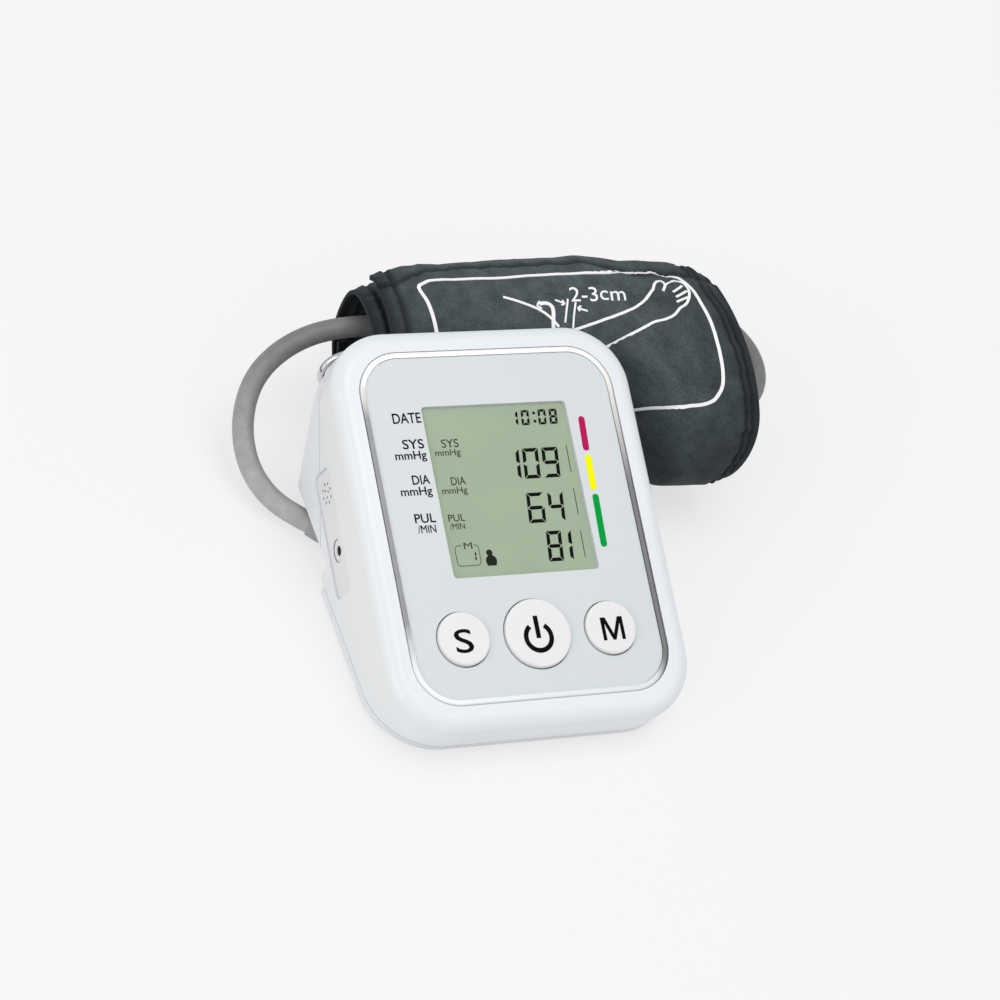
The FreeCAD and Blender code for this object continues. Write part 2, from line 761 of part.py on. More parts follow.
board_blank = plate("board_width", "board_length", "board_thickness", "board_corner",
                    ("0", "board_low", "board_under"))
board_holes = [rod((across, up, "0 - far / 4"), "board_screw_radius + fit_gap", "far / 2")
               for across, up in board_places]
keep("main_board", on_face(cut(board_blank, *board_holes)))
keep("board_screws", on_face(*[fuse(
    rod((across, up, "board_under - board_head_thickness"), "board_screw_head", "board_head_thickness"),
    rod((across, up, "board_under - board_head_thickness"), "board_screw_radius - thread_gap",
        "board_screw_length + board_head_thickness"),
) for across, up in board_places]))
chips = [
    box(("chip_size", "board_low + controller_low", "board_under - chip_height"),
        ("chip_size", "chip_size", "chip_height")),
    box(("0 - chip_size * 3 / 2", "board_low + driver_low", "board_under - chip_height"),
        ("chip_size", "chip_size / 2", "chip_height")),
    box(("0 - chip_size / 3", "board_low + memory_low", "board_under - chip_height"),
        ("chip_size / 2", "chip_size / 3", "chip_height")),
]
keep("board_chips", on_face(*chips))
switches = []
for across, _ in BUTTONS.values():
    switches.append(fuse(
        box((f"{across} - switch_size / 2", "button_low - switch_size / 2", "board_top"),
            ("switch_size", "switch_size", "switch_height")),
        rod((across, "button_low", "board_top"), "plunger_radius", "switch_height + plunger_height"),
    ))
keep("tact_switches", on_face(*switches))


def button(name, across, radius):
    """A round cap with a flange under the face wall and a stem over its switch."""
    cap = doc.addObject("PartDesign::Body", "cap")
    outline = cap.newObject("Sketcher::SketchObject", "outline")
    outline.AttachmentSupport = [(origin_plane(cap, "XY_Plane"), "")]
    outline.MapMode = "FlatFace"
    outline.addGeometry(Part.Circle(Vector(), Vector(0, 0, 1), 5), False)
    outline.addConstraint(Sketcher.Constraint("Coincident", 0, 3, -1, 1))
    width = outline.addConstraint(Sketcher.Constraint("Radius", 0, 5))
    outline.setExpression(f"Constraints[{width}]", formula(radius))
    pad = cap.newObject("PartDesign::Pad", "height")
    pad.Profile = outline
    rise = "stack_gap + face_wall - recess_depth + panel_thickness + button_proud"
    pad.setExpression("Length", formula(rise))
    doc.recompute()
    top = pad.Shape.BoundBox.ZMax
    rim = [f"Edge{number}" for number, edge in enumerate(pad.Shape.Edges, start=1)
           if edge.BoundBox.ZMin > top - 1e-4]
    soft = cap.newObject("PartDesign::Fillet", "rim")
    soft.Base = (pad, rim)
    soft.setExpression("Radius", formula("button_round"))
    cap.Tip = soft
    move(cap, (across, "button_low", "stack_top"))
    flange = rod((across, "button_low", "stack_top - flange_thickness"), f"{radius} + flange_width",
                 "flange_thickness")
    stem_low = "board_top + switch_height + plunger_height + button_travel + fit_gap"
    stem = rod((across, "button_low", stem_low), "stem_radius", f"stack_top - ({stem_low})")
    keep(name, on_face(fuse(cap, flange, stem)))


for name, (across, radius) in BUTTONS.items():
    button(name, across, radius)

# The left wall's insert -----------------------------------------------------------------------------

sound_holes = []
for ring, turns in (("sound_ring", range(8)), ("sound_inner", range(3))):
    for index in turns:
        angle = 360 * index / len(turns) + 10
        sound_holes.append(rod((
            "wall_outside - 1",
            f"speaker_low + {ring} * sin({angle})",
            f"port_centre + {ring} * cos({angle})",
        ), "sound_hole", "far / 20", TO_X))
jack_hole = rod(("wall_outside - 1", "jack_low", "port_centre"), "jack_ring + fit_gap", "far / 20", TO_X)
keep("port_panel", on_face(cut(
    fuse(port_plate("0", "port_face", "port_inside - port_face"),
         port_plate("port_lip", "wall_inside + fit_gap", "port_lip_thickness")),
    jack_hole, *sound_holes)))
keep("speaker", on_face(rod(("port_inside + fit_gap", "speaker_low", "port_centre"), "speaker_radius",
                            "speaker_length", TO_X)))
jack_body = box(("port_inside + fit_gap", "jack_low - jack_size / 2", "port_centre - jack_size / 2"),
                ("jack_length", "jack_size", "jack_size"))
jack_collar = rod(("port_face + jack_sunk", "jack_low", "port_centre"), "jack_ring",
                  "port_inside + fit_gap + jack_root - (port_face + jack_sunk)", TO_X)
jack_bore = rod(("wall_outside", "jack_low", "port_centre"), "jack_bore",
                "port_sunk + jack_sunk + jack_bore_depth", TO_X)
jack_pin = rod(("port_face + jack_sunk + jack_bore_depth - jack_pin_length", "jack_low", "port_centre"),
               "jack_pin", "jack_pin_length + 1", TO_X)
keep("dc_jack", on_face(fuse(cut(fuse(jack_body, jack_collar), jack_bore), jack_pin)))

# The battery bay ------------------------------------------------------------------------------------

hinge_line = ("bay_front + door_hinge_in", "door_recess + door_thickness / 2")
door_blank = box(("door_gap - bay_half", "bay_front + door_gap", "door_recess"),
                 ("bay_width - 2 * door_gap", "bay_length - 2 * door_gap", "door_thickness"))
door_pin = rod(("0 - bay_half - door_pin_length", *hinge_line), "door_pin",
               "bay_width + 2 * door_pin_length", TO_X)
keep("battery_door", fuse(door_blank, door_pin))
cells, springs, plates = [], [], []
for index in range(4):
    middle = (f"cell_front + {index} * cell_pitch", "cell_lift")
    flip = 1 if index % 2 else -1
    body_low = "0 - cell_length / 2" if flip > 0 else "cell_cap - cell_length / 2"
    cells.append(fuse(
        rod((body_low, *middle), "cell_radius", "cell_length - cell_cap", TO_X),
        rod(("0 - cell_length / 2", *middle), "cell_nub", "cell_length", TO_X),
    ))
    plate_low = {1: "bay_half - fit_gap - contact_thickness", -1: "fit_gap - bay_half"}
    for side in (1, -1):
        plates.append(box((plate_low[side], f"{middle[0]} - cell_radius + contact_inset",
                           "cell_lift - cell_radius + contact_inset"),
                          ("contact_thickness", "2 * cell_radius - 2 * contact_inset",
                           "2 * cell_radius - 2 * contact_inset")))
    spring_run = "bay_half - 2 * fit_gap - contact_thickness - cell_length / 2"
    spring_end = "cell_length / 2 + fit_gap / 2"
    if flip > 0:
        springs.append(cone((f"0 - ({spring_end}) - ({spring_run}) + fit_gap", *middle), "spring_radius",
                            "cell_nub", f"{spring_run} - fit_gap / 2", TO_X))
    else:
        springs.append(cone((spring_end, *middle), "cell_nub", "spring_radius",
                            f"{spring_run} - fit_gap / 2", TO_X))
keep("battery_cells", *cells)
keep("battery_springs", *springs)
keep("battery_plates", *plates)

# The pump and the air line --------------------------------------------------------------------------

pump_line = ("pump_back", "pump_height")
keep("pump_motor", rod(("motor_start + fit_gap", *pump_line), "pump_radius", "motor_length - fit_gap", TO_X))
keep("pump_head", fuse(
    rod(("head_start", *pump_line), "pump_radius - head_step", "head_length", TO_X),
    rod(("head_start - nozzle_length", *pump_line), "nozzle_radius", "nozzle_length + 1", TO_X),
))
valve_low = "valve_right - valve_width"
keep("release_valve", fuse(
    box((valve_low, "pump_back - valve_length / 2", "inner_floor + fit_gap"),
        ("valve_width", "valve_length", "valve_height")),
    rod((f"{valve_low} - valve_nozzle", *pump_line), "nozzle_radius",
        "valve_width + nozzle_length + valve_nozzle", TO_X),
))
arm = "arm_length"
keep("air_manifold", fuse(
    ball(("air_x", *pump_line), "manifold_radius"),
    rod(("air_x", *pump_line), "nozzle_radius", arm, TO_X),
    rod(("air_x", f"pump_back - {arm}", "pump_height"), "nozzle_radius", arm, TO_Y),
    rod(("air_x", *pump_line), "nozzle_radius", arm),
))
bend_up = ("(pump_back + face_front_back) * cos(face_tilt)"
           " + (sensor_bend - face_front_height) * sin(face_tilt)")
keep("pressure_sensor", on_face(fuse(
    box(("air_x - sensor_size / 2", f"{bend_up} - sensor_size / 2", "board_under - sensor_height"),
        ("sensor_size", "sensor_size", "sensor_height")),
    rod(("air_x", bend_up, "board_under - sensor_height - sensor_nozzle"), "nozzle_radius", "sensor_nozzle"),
)))
sensor_low = size_of("board_under - sensor_height")
sensor_spot = face_point(size("air_x"), size_of(bend_up), sensor_low - size("tube_end"))
tube_sizes = (size("tube_radius"), size("tube_bore"))
inner_routes = {
    "pump_tube": [("head_start - tube_end", *pump_line),
                  ("head_start - 2 * nozzle_length + tube_end", *pump_line)],
    "valve_tube": [(f"{valve_low} - tube_end", *pump_line),
                   ("air_x + manifold_radius + tube_seat", *pump_line)],
    "sensor_tube": [("air_x", "pump_back", "pump_height + manifold_radius + tube_seat"),
                    ("air_x", "pump_back", "sensor_bend"), tuple(sensor_spot)],
    "socket_tube": [("air_x", "pump_back - manifold_radius - tube_seat", "pump_height"),
                    ("air_x", "pump_back - manifold_radius - 5.0", "pump_height"),
                    ("air_x", "socket_riser_back + 2.9", "pump_height - 3"),
                    ("air_x", "socket_riser_back", "pump_height - 8"),
                    ("air_x", "socket_riser_back", "socket_height + socket_radius + tube_seat")],
}
keep("inner_tubes", *[tube(name, points, *tube_sizes) for name, points in inner_routes.items()])

# The air socket and the plug ------------------------------------------------------------------------

keep("air_socket", cut(
    fuse(rod(along_socket("0 - socket_length"), "socket_radius", "socket_length - fit_gap", socket_aim),
         rod(("air_x", "socket_riser_back", "socket_height"), "nozzle_radius",
             "socket_riser_top - socket_height")),
    rod(along_socket("0 - socket_bore_depth"), "socket_bore", "socket_bore_depth + 1", socket_aim),
))
keep("air_plug", cut(
    fuse(rod(along_socket("0 - plug_nose_length"), "socket_bore - plug_nose_gap",
             "plug_nose_length + plug_gap + 1", socket_aim),
         rod(along_socket("plug_gap"), "plug_radius", "plug_length - plug_gap", socket_aim),
         cone(along_socket("plug_length"), "plug_radius",
              "hose_radius + hose_gap + plug_relief_wall", "plug_relief_length", socket_aim)),
    rod(along_socket("plug_length"), "hose_radius + hose_gap", "plug_relief_length + 1", socket_aim),
    rod(along_socket("0 - plug_nose_length - 1"), "nozzle_radius", "plug_nose_length + plug_length + 2",
        socket_aim),
))

HOSE_ROUTE = [
    (-49.5, 70.2, 4.9),
    (-55.6, 77.5, 5.3),
    (-59.3, 86.2, 7.7),
    (-60.0, 95.2, 11.7),
    (-58.0, 103.5, 16.1),
    (-53.9, 110.2, 20.5),
    (-47.2, 115.2, 24.3),
    (-38.2, 118.6, 27.6),
    (-28.4, 119.9, 29.6),
    (-14.0, 120.0, 30.5),
    (6.0, 119.2, 30.0),
    (36.0, 118.6, 30.2),
    (64.0, 119.3, 30.0),
    (82.2, 120.7, 29.9),
    (93.3, 121.0, 29.8),
    (102.2, 115.9, 29.3),
    (107.2, 107.1, 28.7),
    (107.4, 96.9, 28.0),
    (102.3, 88.1, 27.3),
    (93.4, 83.6, 26.7),
    (82.8, 83.1, 26.5),
]
hose_start = tuple(size_of(part) for part in along_socket("plug_length + fit_gap"))
hose_end = ("elbow_x + elbow_length - elbow_sleeve + fit_gap", "elbow_back", "elbow_height")
hose_line = [hose_start, *HOSE_ROUTE, hose_end]
keep("air_hose", tube("air_hose", hose_line, size("hose_radius"), size("hose_bore")))

# The cuff -------------------------------------------------------------------------------------------

elbow_hole = rod(("elbow_x + elbow_radius", "elbow_back - elbow_reach - 3", "elbow_height"),
                 "elbow_stub + soft_gap", "elbow_reach + 3", TO_Y)
keep("cuff_outer_lap", layer("cuff_left", "cuff_right", "0", "lap_thickness"))
keep("cuff_inner_lap", cut(layer("cuff_left - inner_lap_out", "cuff_right - inner_lap_in", "inner_top",
                                 "hollow_inset"), elbow_hole))
bladder_ring = layer("cuff_left + bladder_margin", "cuff_right - bladder_margin", "layer_top",
                     "layer_top + bladder_thickness")
keep("cuff_bladder", common(bladder_ring, box(("0 - far", "0", "0"), ("2 * far", "far", "bladder_top"))))
patch_ring = layer("cuff_left + bladder_margin", "bulge_start", "layer_top", "layer_top + patch_thickness")
keep("hook_patch", common(patch_ring, box(("0 - far", "0", "patch_low"), ("2 * far", "far", "far"))))
keep("flap_binding", layer("cuff_left - soft_gap - binding_length", "cuff_left - soft_gap", "0",
                           "lap_thickness"))
keep("end_binding", layer("cuff_right + soft_gap", "cuff_right + soft_gap + binding_length", "0",
                          "lap_thickness"))

ring_low = "ring_height - ring_width"
ring_bars = [rod(("ring_left", "ring_back", height), "ring_wire", "ring_right - ring_left", TO_X)
             for height in ("ring_height", ring_low)]
ring_legs = [rod((across, "ring_back", ring_low), "ring_wire", "ring_width") for across in
             ("ring_left", "ring_right")]
ring_corners = [ball((across, "ring_back", height), "ring_wire") for across in ("ring_left", "ring_right")
                for height in ("ring_height", ring_low)]
keep("d_ring", fuse(*ring_bars, *ring_legs, *ring_corners))
tab_loop = cut(
    fuse(rod(("tab_start", "ring_back", "ring_height"), "ring_wire + tab_gap + tab_thickness",
             "tab_length", TO_X),
         box(("tab_start", "ring_back", "ring_height + ring_wire + tab_gap"),
             ("tab_length", "ring_width", "tab_thickness"))),
    rod(("tab_start - 1", "ring_back", "ring_height"), "ring_wire + tab_gap", "tab_length + 2", TO_X),
)
keep("d_ring_tab", common(tab_loop, roll_solid("hollow_inset + soft_gap", "cuff_left", "cuff_right")))

sleeve_start = "elbow_x + elbow_length - elbow_sleeve"
barrel_line = ("elbow_back", "elbow_height")
stub_line = ("elbow_x + elbow_radius", "elbow_back - elbow_reach", "elbow_height")
flange_back = "elbow_back - elbow_radius - elbow_flange_reach"
keep("cuff_port", cut(
    fuse(rod(("elbow_x", *barrel_line), "elbow_radius", "elbow_length", TO_X),
         rod(stub_line, "elbow_stub", "elbow_reach", TO_Y),
         rod(("elbow_x + elbow_radius", flange_back, "elbow_height"), "elbow_flange",
             "elbow_flange_thickness", TO_Y)),
    rod((sleeve_start, *barrel_line), "hose_radius + hose_gap", "elbow_sleeve + 1", TO_X),
    rod(("elbow_x + elbow_radius", *barrel_line), "nozzle_radius", "elbow_length", TO_X),
    rod((stub_line[0], f"{stub_line[1]} - 1", stub_line[2]), "nozzle_radius", "elbow_reach + 1", TO_Y),
))

# Checks and export ----------------------------------------------------------------------------------

doc.removeObject(probe.Name)
doc.recompute()
for part in doc.Objects:
    if "Invalid" in part.State or "Error" in part.State:
        raise ValueError(f"{part.Label} did not compute: {part.State}")
os.makedirs("parts", exist_ok=True)
for name, node in nodes.items():
    shape = node.Shape
    if shape.isNull() or not shape.isValid() or not shape.Solids:
        raise ValueError(f"{name} is not a sound solid")
for name, node in nodes.items():
    node.Shape.exportStep(f"parts/{name}.step")
print(f"{len(nodes)} sub-parts written")
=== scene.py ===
"""An upper-arm blood pressure monitor: a white case with a silver-edged face and a display, a rolled cloth
cuff and the air hose between them."""

import math

import bpy
from mathutils import Matrix, Vector, noise


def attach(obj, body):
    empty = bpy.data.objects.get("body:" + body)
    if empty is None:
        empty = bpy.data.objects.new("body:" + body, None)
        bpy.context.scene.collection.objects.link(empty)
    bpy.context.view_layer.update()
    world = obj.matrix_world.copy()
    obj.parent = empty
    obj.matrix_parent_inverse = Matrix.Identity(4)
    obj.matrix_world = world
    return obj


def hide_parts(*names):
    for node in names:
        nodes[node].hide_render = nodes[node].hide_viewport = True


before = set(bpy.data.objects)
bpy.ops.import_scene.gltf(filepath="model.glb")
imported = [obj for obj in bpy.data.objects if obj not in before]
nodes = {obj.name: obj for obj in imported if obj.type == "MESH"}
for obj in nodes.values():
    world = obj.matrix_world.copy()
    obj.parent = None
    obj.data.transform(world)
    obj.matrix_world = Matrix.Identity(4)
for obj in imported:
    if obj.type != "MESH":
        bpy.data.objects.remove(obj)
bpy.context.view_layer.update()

MM = 0.001

# The face frame: x across, y up the slope from the case's front edge, z out of the face, in millimetres.
FACE_TILT = math.radians(20.0)
FACE_FOOT = Vector((0.0, -18.9, 16.3))
FACE = Matrix.Scale(MM, 4) @ Matrix.Translation(FACE_FOOT) @ Matrix.Rotation(FACE_TILT, 4, "X")
PANEL_TOP = -0.4
RECESS_FLOOR = -1.4
FILM_TOP = RECESS_FLOOR + 0.05
BUTTON_TOP = 0.9
BUTTON_PITCH = 23.2

# The roll of the cuff, in millimetres.
ROLL_BACK = 138.4
ROLL_HALF_HEIGHT = 25.2
ROLL_FRONT_BEHIND = 87.8
ROLL_FRONT_BESIDE = 62.5
ROLL_SWELL_START = 49.0
ROLL_SWELL_END = 67.0


# The camera -----------------------------------------------------------

# The lens is in millimetres. The eye's place is in metres, with the ways to its right and behind it.
LENS, SENSOR = 126.25, 36.0
LENS_SHIFT = (-0.0165, 0.0284)
NEAREST, FARTHEST = 0.05, 20.0
EYE = (-0.4372, -0.5105, 0.7506)
EYE_RIGHT = Vector((0.8975, -0.3161, 0.3075))
EYE_BACK = Vector((-0.4372, -0.5465, 0.7143)).normalized()


def make_camera():
    """A long lens from the front left, above the case."""
    data = bpy.data.cameras.new("camera")
    data.lens = LENS
    data.sensor_width = SENSOR
    data.shift_x, data.shift_y = LENS_SHIFT
    data.clip_start, data.clip_end = NEAREST, FARTHEST
    camera = bpy.data.objects.new("camera", data)
    bpy.context.scene.collection.objects.link(camera)
    up = EYE_BACK.cross(EYE_RIGHT).normalized()
    turn = Matrix((up.cross(EYE_BACK), up, EYE_BACK)).transposed().to_4x4()
    camera.matrix_world = Matrix.Translation(EYE) @ turn
    bpy.context.scene.camera = camera


make_camera()


# Materials ------------------------------------------------------------

# The second and third case tones are painted shade, for the case's top end and its left wall.
CASE_WHITE, CASE_TOP_PAINTED_SHADE, CASE_LEFT_PAINTED_SHADE = (0.80, 0.825, 0.865), (0.75, 0.802, 0.832), (0.755, 0.77, 0.785)
PANEL_GREY, PANEL_FOOT, PANEL_HEAD = (0.71, 0.75, 0.77), (0.665, 0.71, 0.725), (0.665, 0.70, 0.72)
# The trim's side, foot and top tones are a painted reflection on the silver ring.
TRIM_SILVER, TRIM_SIDE_REFLECTION = (0.80, 0.80, 0.79), (0.19, 0.19, 0.195)
TRIM_FOOT_REFLECTION, TRIM_TOP_HIGHLIGHT = (0.73, 0.755, 0.775), (0.90, 0.885, 0.875)
LCD_GREEN = (0.388, 0.476, 0.340)
# The hose's high tone is painted shade, for where it runs into the roll.
HOSE_GREY, HOSE_LOW_LIT, HOSE_HIGH_SHADED = (0.30, 0.30, 0.30), (0.415, 0.415, 0.415), (0.195, 0.195, 0.195)
# The dark cloth tone serves the dark binding and seams and the painted shade inside the roll.
CLOTH, CLOTH_DARK, CLOTH_SHEEN = (0.054, 0.069, 0.073), (0.010, 0.013, 0.015), (0.55, 0.62, 0.66)
WHITE = (1.0, 1.0, 1.0)

# The cloth's weave, in millimetres, and its two noises, which are scaled by its map in millimetres.
WEAVE = 0.55
CLOTH_MOTTLE = {"Scale": 0.16, "Detail": 5.0, "Roughness": 0.65}
CLOTH_FUZZ = {"Scale": 1.6, "Detail": 4.0, "Roughness": 0.6}
FUZZ_SHARE, BLEND_SCALE = 0.9, 0.53

# How far the walls of a hole run before the painted shade in it starts, in millimetres.
HOLE_EDGE = 0.15


def toned(colour, share):
    """A colour made darker or lighter."""
    return tuple(part * share for part in colour)


class Finish:
    """A material's node tree, with short words for adding to it."""

    def __init__(self, name, colour, rough, **shader):
        self.material = bpy.data.materials.new(name)
        self.material.use_nodes = True
        self.tree = self.material.node_tree
        self.shader = self.tree.nodes["Principled BSDF"]
        self.shader.inputs["Base Color"].default_value = (*colour, 1)
        self.shader.inputs["Roughness"].default_value = rough
        for socket, value in shader.items():
            self.shader.inputs[socket.replace("_", " ")].default_value = value

    def add(self, kind, inputs=None, **settings):
        """A node with its inputs set to values or linked to other nodes' outputs."""
        node = self.tree.nodes.new(kind)
        for key, value in settings.items():
            setattr(node, key, value)
        for key, value in (inputs or {}).items():
            socket = node.inputs[key]
            if isinstance(value, bpy.types.NodeSocket):
                self.tree.links.new(value, socket)
            else:
                socket.default_value = value
        return node

    def feed(self, socket, source):
        """Takes one of the shader's values from an output."""
        self.tree.links.new(source, self.shader.inputs[socket])

    def place(self):
        """The piece's own coordinates, in metres."""
        return self.add("ShaderNodeTexCoord").outputs["Object"]

    def axis(self, name):
        """The piece's own X, Y or Z, in metres."""
        return self.add("ShaderNodeSeparateXYZ", {"Vector": self.place()}).outputs[name]

    def noise(self, size_mm, detail=3.0):
        """Cloudy noise whose features are about so many millimetres across."""
        return self.add("ShaderNodeTexNoise", {
            "Vector": self.place(), "Scale": 1.0 / (size_mm * MM), "Detail": detail,
        }).outputs["Fac"]

    def math(self, operation, first, second=0.0, third=0.0):
        """One sum."""
        node = self.add("ShaderNodeMath", {0: first, 1: second, 2: third}, operation=operation)
        return node.outputs["Value"]

    def span(self, source, start, end, low, high):
        """The source's run from start to end, made a number from low to high."""
        return self.add("ShaderNodeMapRange", {
            "Value": source, "From Min": start, "From Max": end, "To Min": low, "To Max": high,
        }).outputs["Result"]

    def run(self, axis, start_mm, end_mm, low=0.0, high=1.0):
        """A number from low to high as the piece's own X, Y or Z goes from start to end."""
        return self.span(self.axis(axis), start_mm * MM, end_mm * MM, low, high)

    def ramp(self, source, low, high, start=0.3, end=0.7):
        """A colour between low and high as the source goes from start to end."""
        node = self.add("ShaderNodeValToRGB", {"Fac": source})
        for element, colour, position in zip(node.color_ramp.elements, (low, high), (start, end)):
            element.position = position
            element.color = (*colour, 1)
        return node.outputs["Color"]

    def drift(self, colour, shift=0.03, size_mm=35.0):
        """A colour with a faint, wide change of tone."""
        return self.ramp(self.noise(size_mm, 2.0), toned(colour, 1 - shift), colour, 0.35, 0.65)

    def mix(self, factor, first, second, blend="MIX"):
        """Two colours mixed, or blended in another way."""
        node = self.add("ShaderNodeMix", {"Factor": factor}, data_type="RGBA", blend_type=blend)
        for socket, value in ((node.inputs[6], first), (node.inputs[7], second)):
            if isinstance(value, bpy.types.NodeSocket):
                self.tree.links.new(value, socket)
            else:
                socket.default_value = (*value, 1)
        return node.outputs[2]

    def colour(self, source):
        """Takes the base colour from an output."""
        self.feed("Base Color", source)

    def polish(self, source, low, high):
        """An uneven polish: a roughness from low to high as a noise varies."""
        self.feed("Roughness", self.span(source, 0.3, 0.7, low, high))

    def bump(self, height, depth_mm, strength):
        """Small relief."""
        node = self.add("ShaderNodeBump", {"Height": height, "Distance": depth_mm * MM, "Strength": strength})
        self.feed("Normal", node.outputs["Normal"])


def plastic(name, colour, rough, shift=0.03, grain_mm=0.5, depth_mm=0.01):
    """Moulded plastic: a faint change of tone, a fine grain and an uneven polish."""
    finish = Finish(name, colour, rough)
    finish.colour(finish.drift(colour, shift))
    finish.polish(finish.noise(6.0, 4.0), rough * 0.85, rough * 1.15)
    finish.bump(finish.noise(grain_mm, 2.0), depth_mm, 0.25)
    return finish.material


def metal(name, colour, rough):
    """Bright metal with fine handling marks."""
    finish = Finish(name, colour, rough, Metallic=1.0)
    finish.colour(finish.ramp(finish.noise(4.0, 4.0), toned(colour, 0.9), colour))
    finish.polish(finish.noise(0.6, 4.0), rough * 0.7, rough * 1.4)
    return finish.material


def case_finish():
    """White gloss plastic with painted shade: a little deeper in tone at its top end and on its left wall."""
    finish = Finish("case_white", CASE_WHITE, 0.32)
    # Painted shade: the top end and the left wall are toned darker, as they lie in less light.
    top_painted_shade = finish.mix(finish.run("Y", 70.0, 95.0), finish.drift(CASE_WHITE, size_mm=40.0), CASE_TOP_PAINTED_SHADE)
    finish.colour(finish.mix(finish.run("X", -41.0, -46.8), top_painted_shade, CASE_LEFT_PAINTED_SHADE))
    finish.polish(finish.noise(8.0, 4.0), 0.27, 0.36)
    finish.bump(finish.noise(0.45, 2.0), 0.006, 0.12)
    return finish.material


def panel_finish():
    """The painted face panel: an even light grey with a fine grain."""
    finish = Finish("panel_grey", PANEL_GREY, 0.4)
    base = finish.mix(finish.run("Y", -10.0, 90.0), PANEL_FOOT, PANEL_HEAD)
    grain = finish.ramp(finish.noise(0.35, 2.0), toned(WHITE, 0.97), WHITE)
    finish.colour(finish.mix(1.0, base, grain, "MULTIPLY"))
    finish.bump(finish.noise(0.3, 2.0), 0.006, 0.2)
    return finish.material


def glass_finish():
    """The display's reflective grey-green, with its faint mottle."""
    finish = Finish("lcd_green", LCD_GREEN, 0.5, Specular_IOR_Level=0.2)
    finish.colour(finish.ramp(finish.noise(20.0, 2.0), toned(LCD_GREEN, 0.96), toned(LCD_GREEN, 1.03)))
    finish.bump(finish.noise(0.25, 2.0), 0.004, 0.15)
    return finish.material


def cloth_finish():
    """Brushed nylon cloth. It reads the sheet's own map. It is darker at its seams and edges, where its
    binding and stitches are dark and partly painted shade, and painted shade darkens its inside, its two ends
    and its lower part.
    """
    finish = Finish("cuff_cloth", CLOTH, 0.88, Sheen_Weight=0.1, Sheen_Roughness=0.5, Specular_IOR_Level=0.2)
    finish.shader.inputs["Sheen Tint"].default_value = (*CLOTH_SHEEN, 1)
    sheet = finish.add("ShaderNodeUVMap", uv_map="cloth").outputs["UV"]
    parts = finish.add("ShaderNodeSeparateXYZ", {"Vector": sheet})
    warp = finish.math("SINE", finish.math("MULTIPLY", parts.outputs["X"], math.tau / WEAVE))
    weft = finish.math("SINE", finish.math("MULTIPLY", parts.outputs["Y"], math.tau / WEAVE))
    weave = finish.math("MULTIPLY", warp, weft)
    mottle = finish.add("ShaderNodeTexNoise", {"Vector": sheet, **CLOTH_MOTTLE}).outputs["Fac"]
    fuzz = finish.add("ShaderNodeTexNoise", {"Vector": sheet, **CLOTH_FUZZ}).outputs["Fac"]
    blend = finish.math("MULTIPLY_ADD", fuzz, FUZZ_SHARE, mottle)
    blend = finish.math("MULTIPLY", blend, BLEND_SCALE)
    tone = finish.ramp(blend, toned(CLOTH, 0.48), toned(CLOTH, 1.55), 0.34, 0.66)
    # Painted shade: the cloth is made darker towards its open right end, its far left end and its lower part.
    open_end_shade = finish.run("X", 55.0, 85.0, 1.14, 0.72)
    far_end_shade = finish.run("X", -20.0, 12.0, 0.76, 1.0)
    low_shade = finish.run("Z", 14.0, 46.0, 0.42, 1.0)
    painted_shade = finish.math("MULTIPLY", finish.math("MULTIPLY", open_end_shade, far_end_shade), low_shade)
    shaded = finish.add("ShaderNodeVectorMath", {0: tone, "Scale": painted_shade}, operation="SCALE")
    # Dark binding and seams with painted shade, and painted shade inside the roll, read from the points.
    dark_hems_and_shade = finish.add("ShaderNodeAttribute", attribute_name="dark_hems_and_shade").outputs["Fac"]
    finish.colour(finish.mix(dark_hems_and_shade, shaded.outputs["Vector"], CLOTH_DARK))
    finish.polish(fuzz, 0.74, 0.9)
    finish.bump(finish.math("MULTIPLY_ADD", weave, 0.5, fuzz), 0.06, 0.45)
    return finish.material


def hose_finish():
    """Grey vinyl hose with a dull bloom, and painted shade that makes it darker where it rises to the cuff.
    """
    finish = Finish("hose_grey", HOSE_GREY, 0.5)
    # Painted shade: the hose turns darker as it rises into the roll's hollow.
    base = finish.mix(finish.run("Z", 4.0, 27.6), HOSE_LOW_LIT, HOSE_HIGH_SHADED)
    bloom = finish.ramp(finish.noise(3.0, 5.0), toned(WHITE, 0.90), toned(WHITE, 1.08))
    finish.colour(finish.mix(1.0, base, bloom, "MULTIPLY"))
    finish.polish(finish.noise(2.0, 4.0), 0.42, 0.58)
    finish.bump(finish.noise(0.5, 3.0), 0.02, 0.3)
    return finish.material


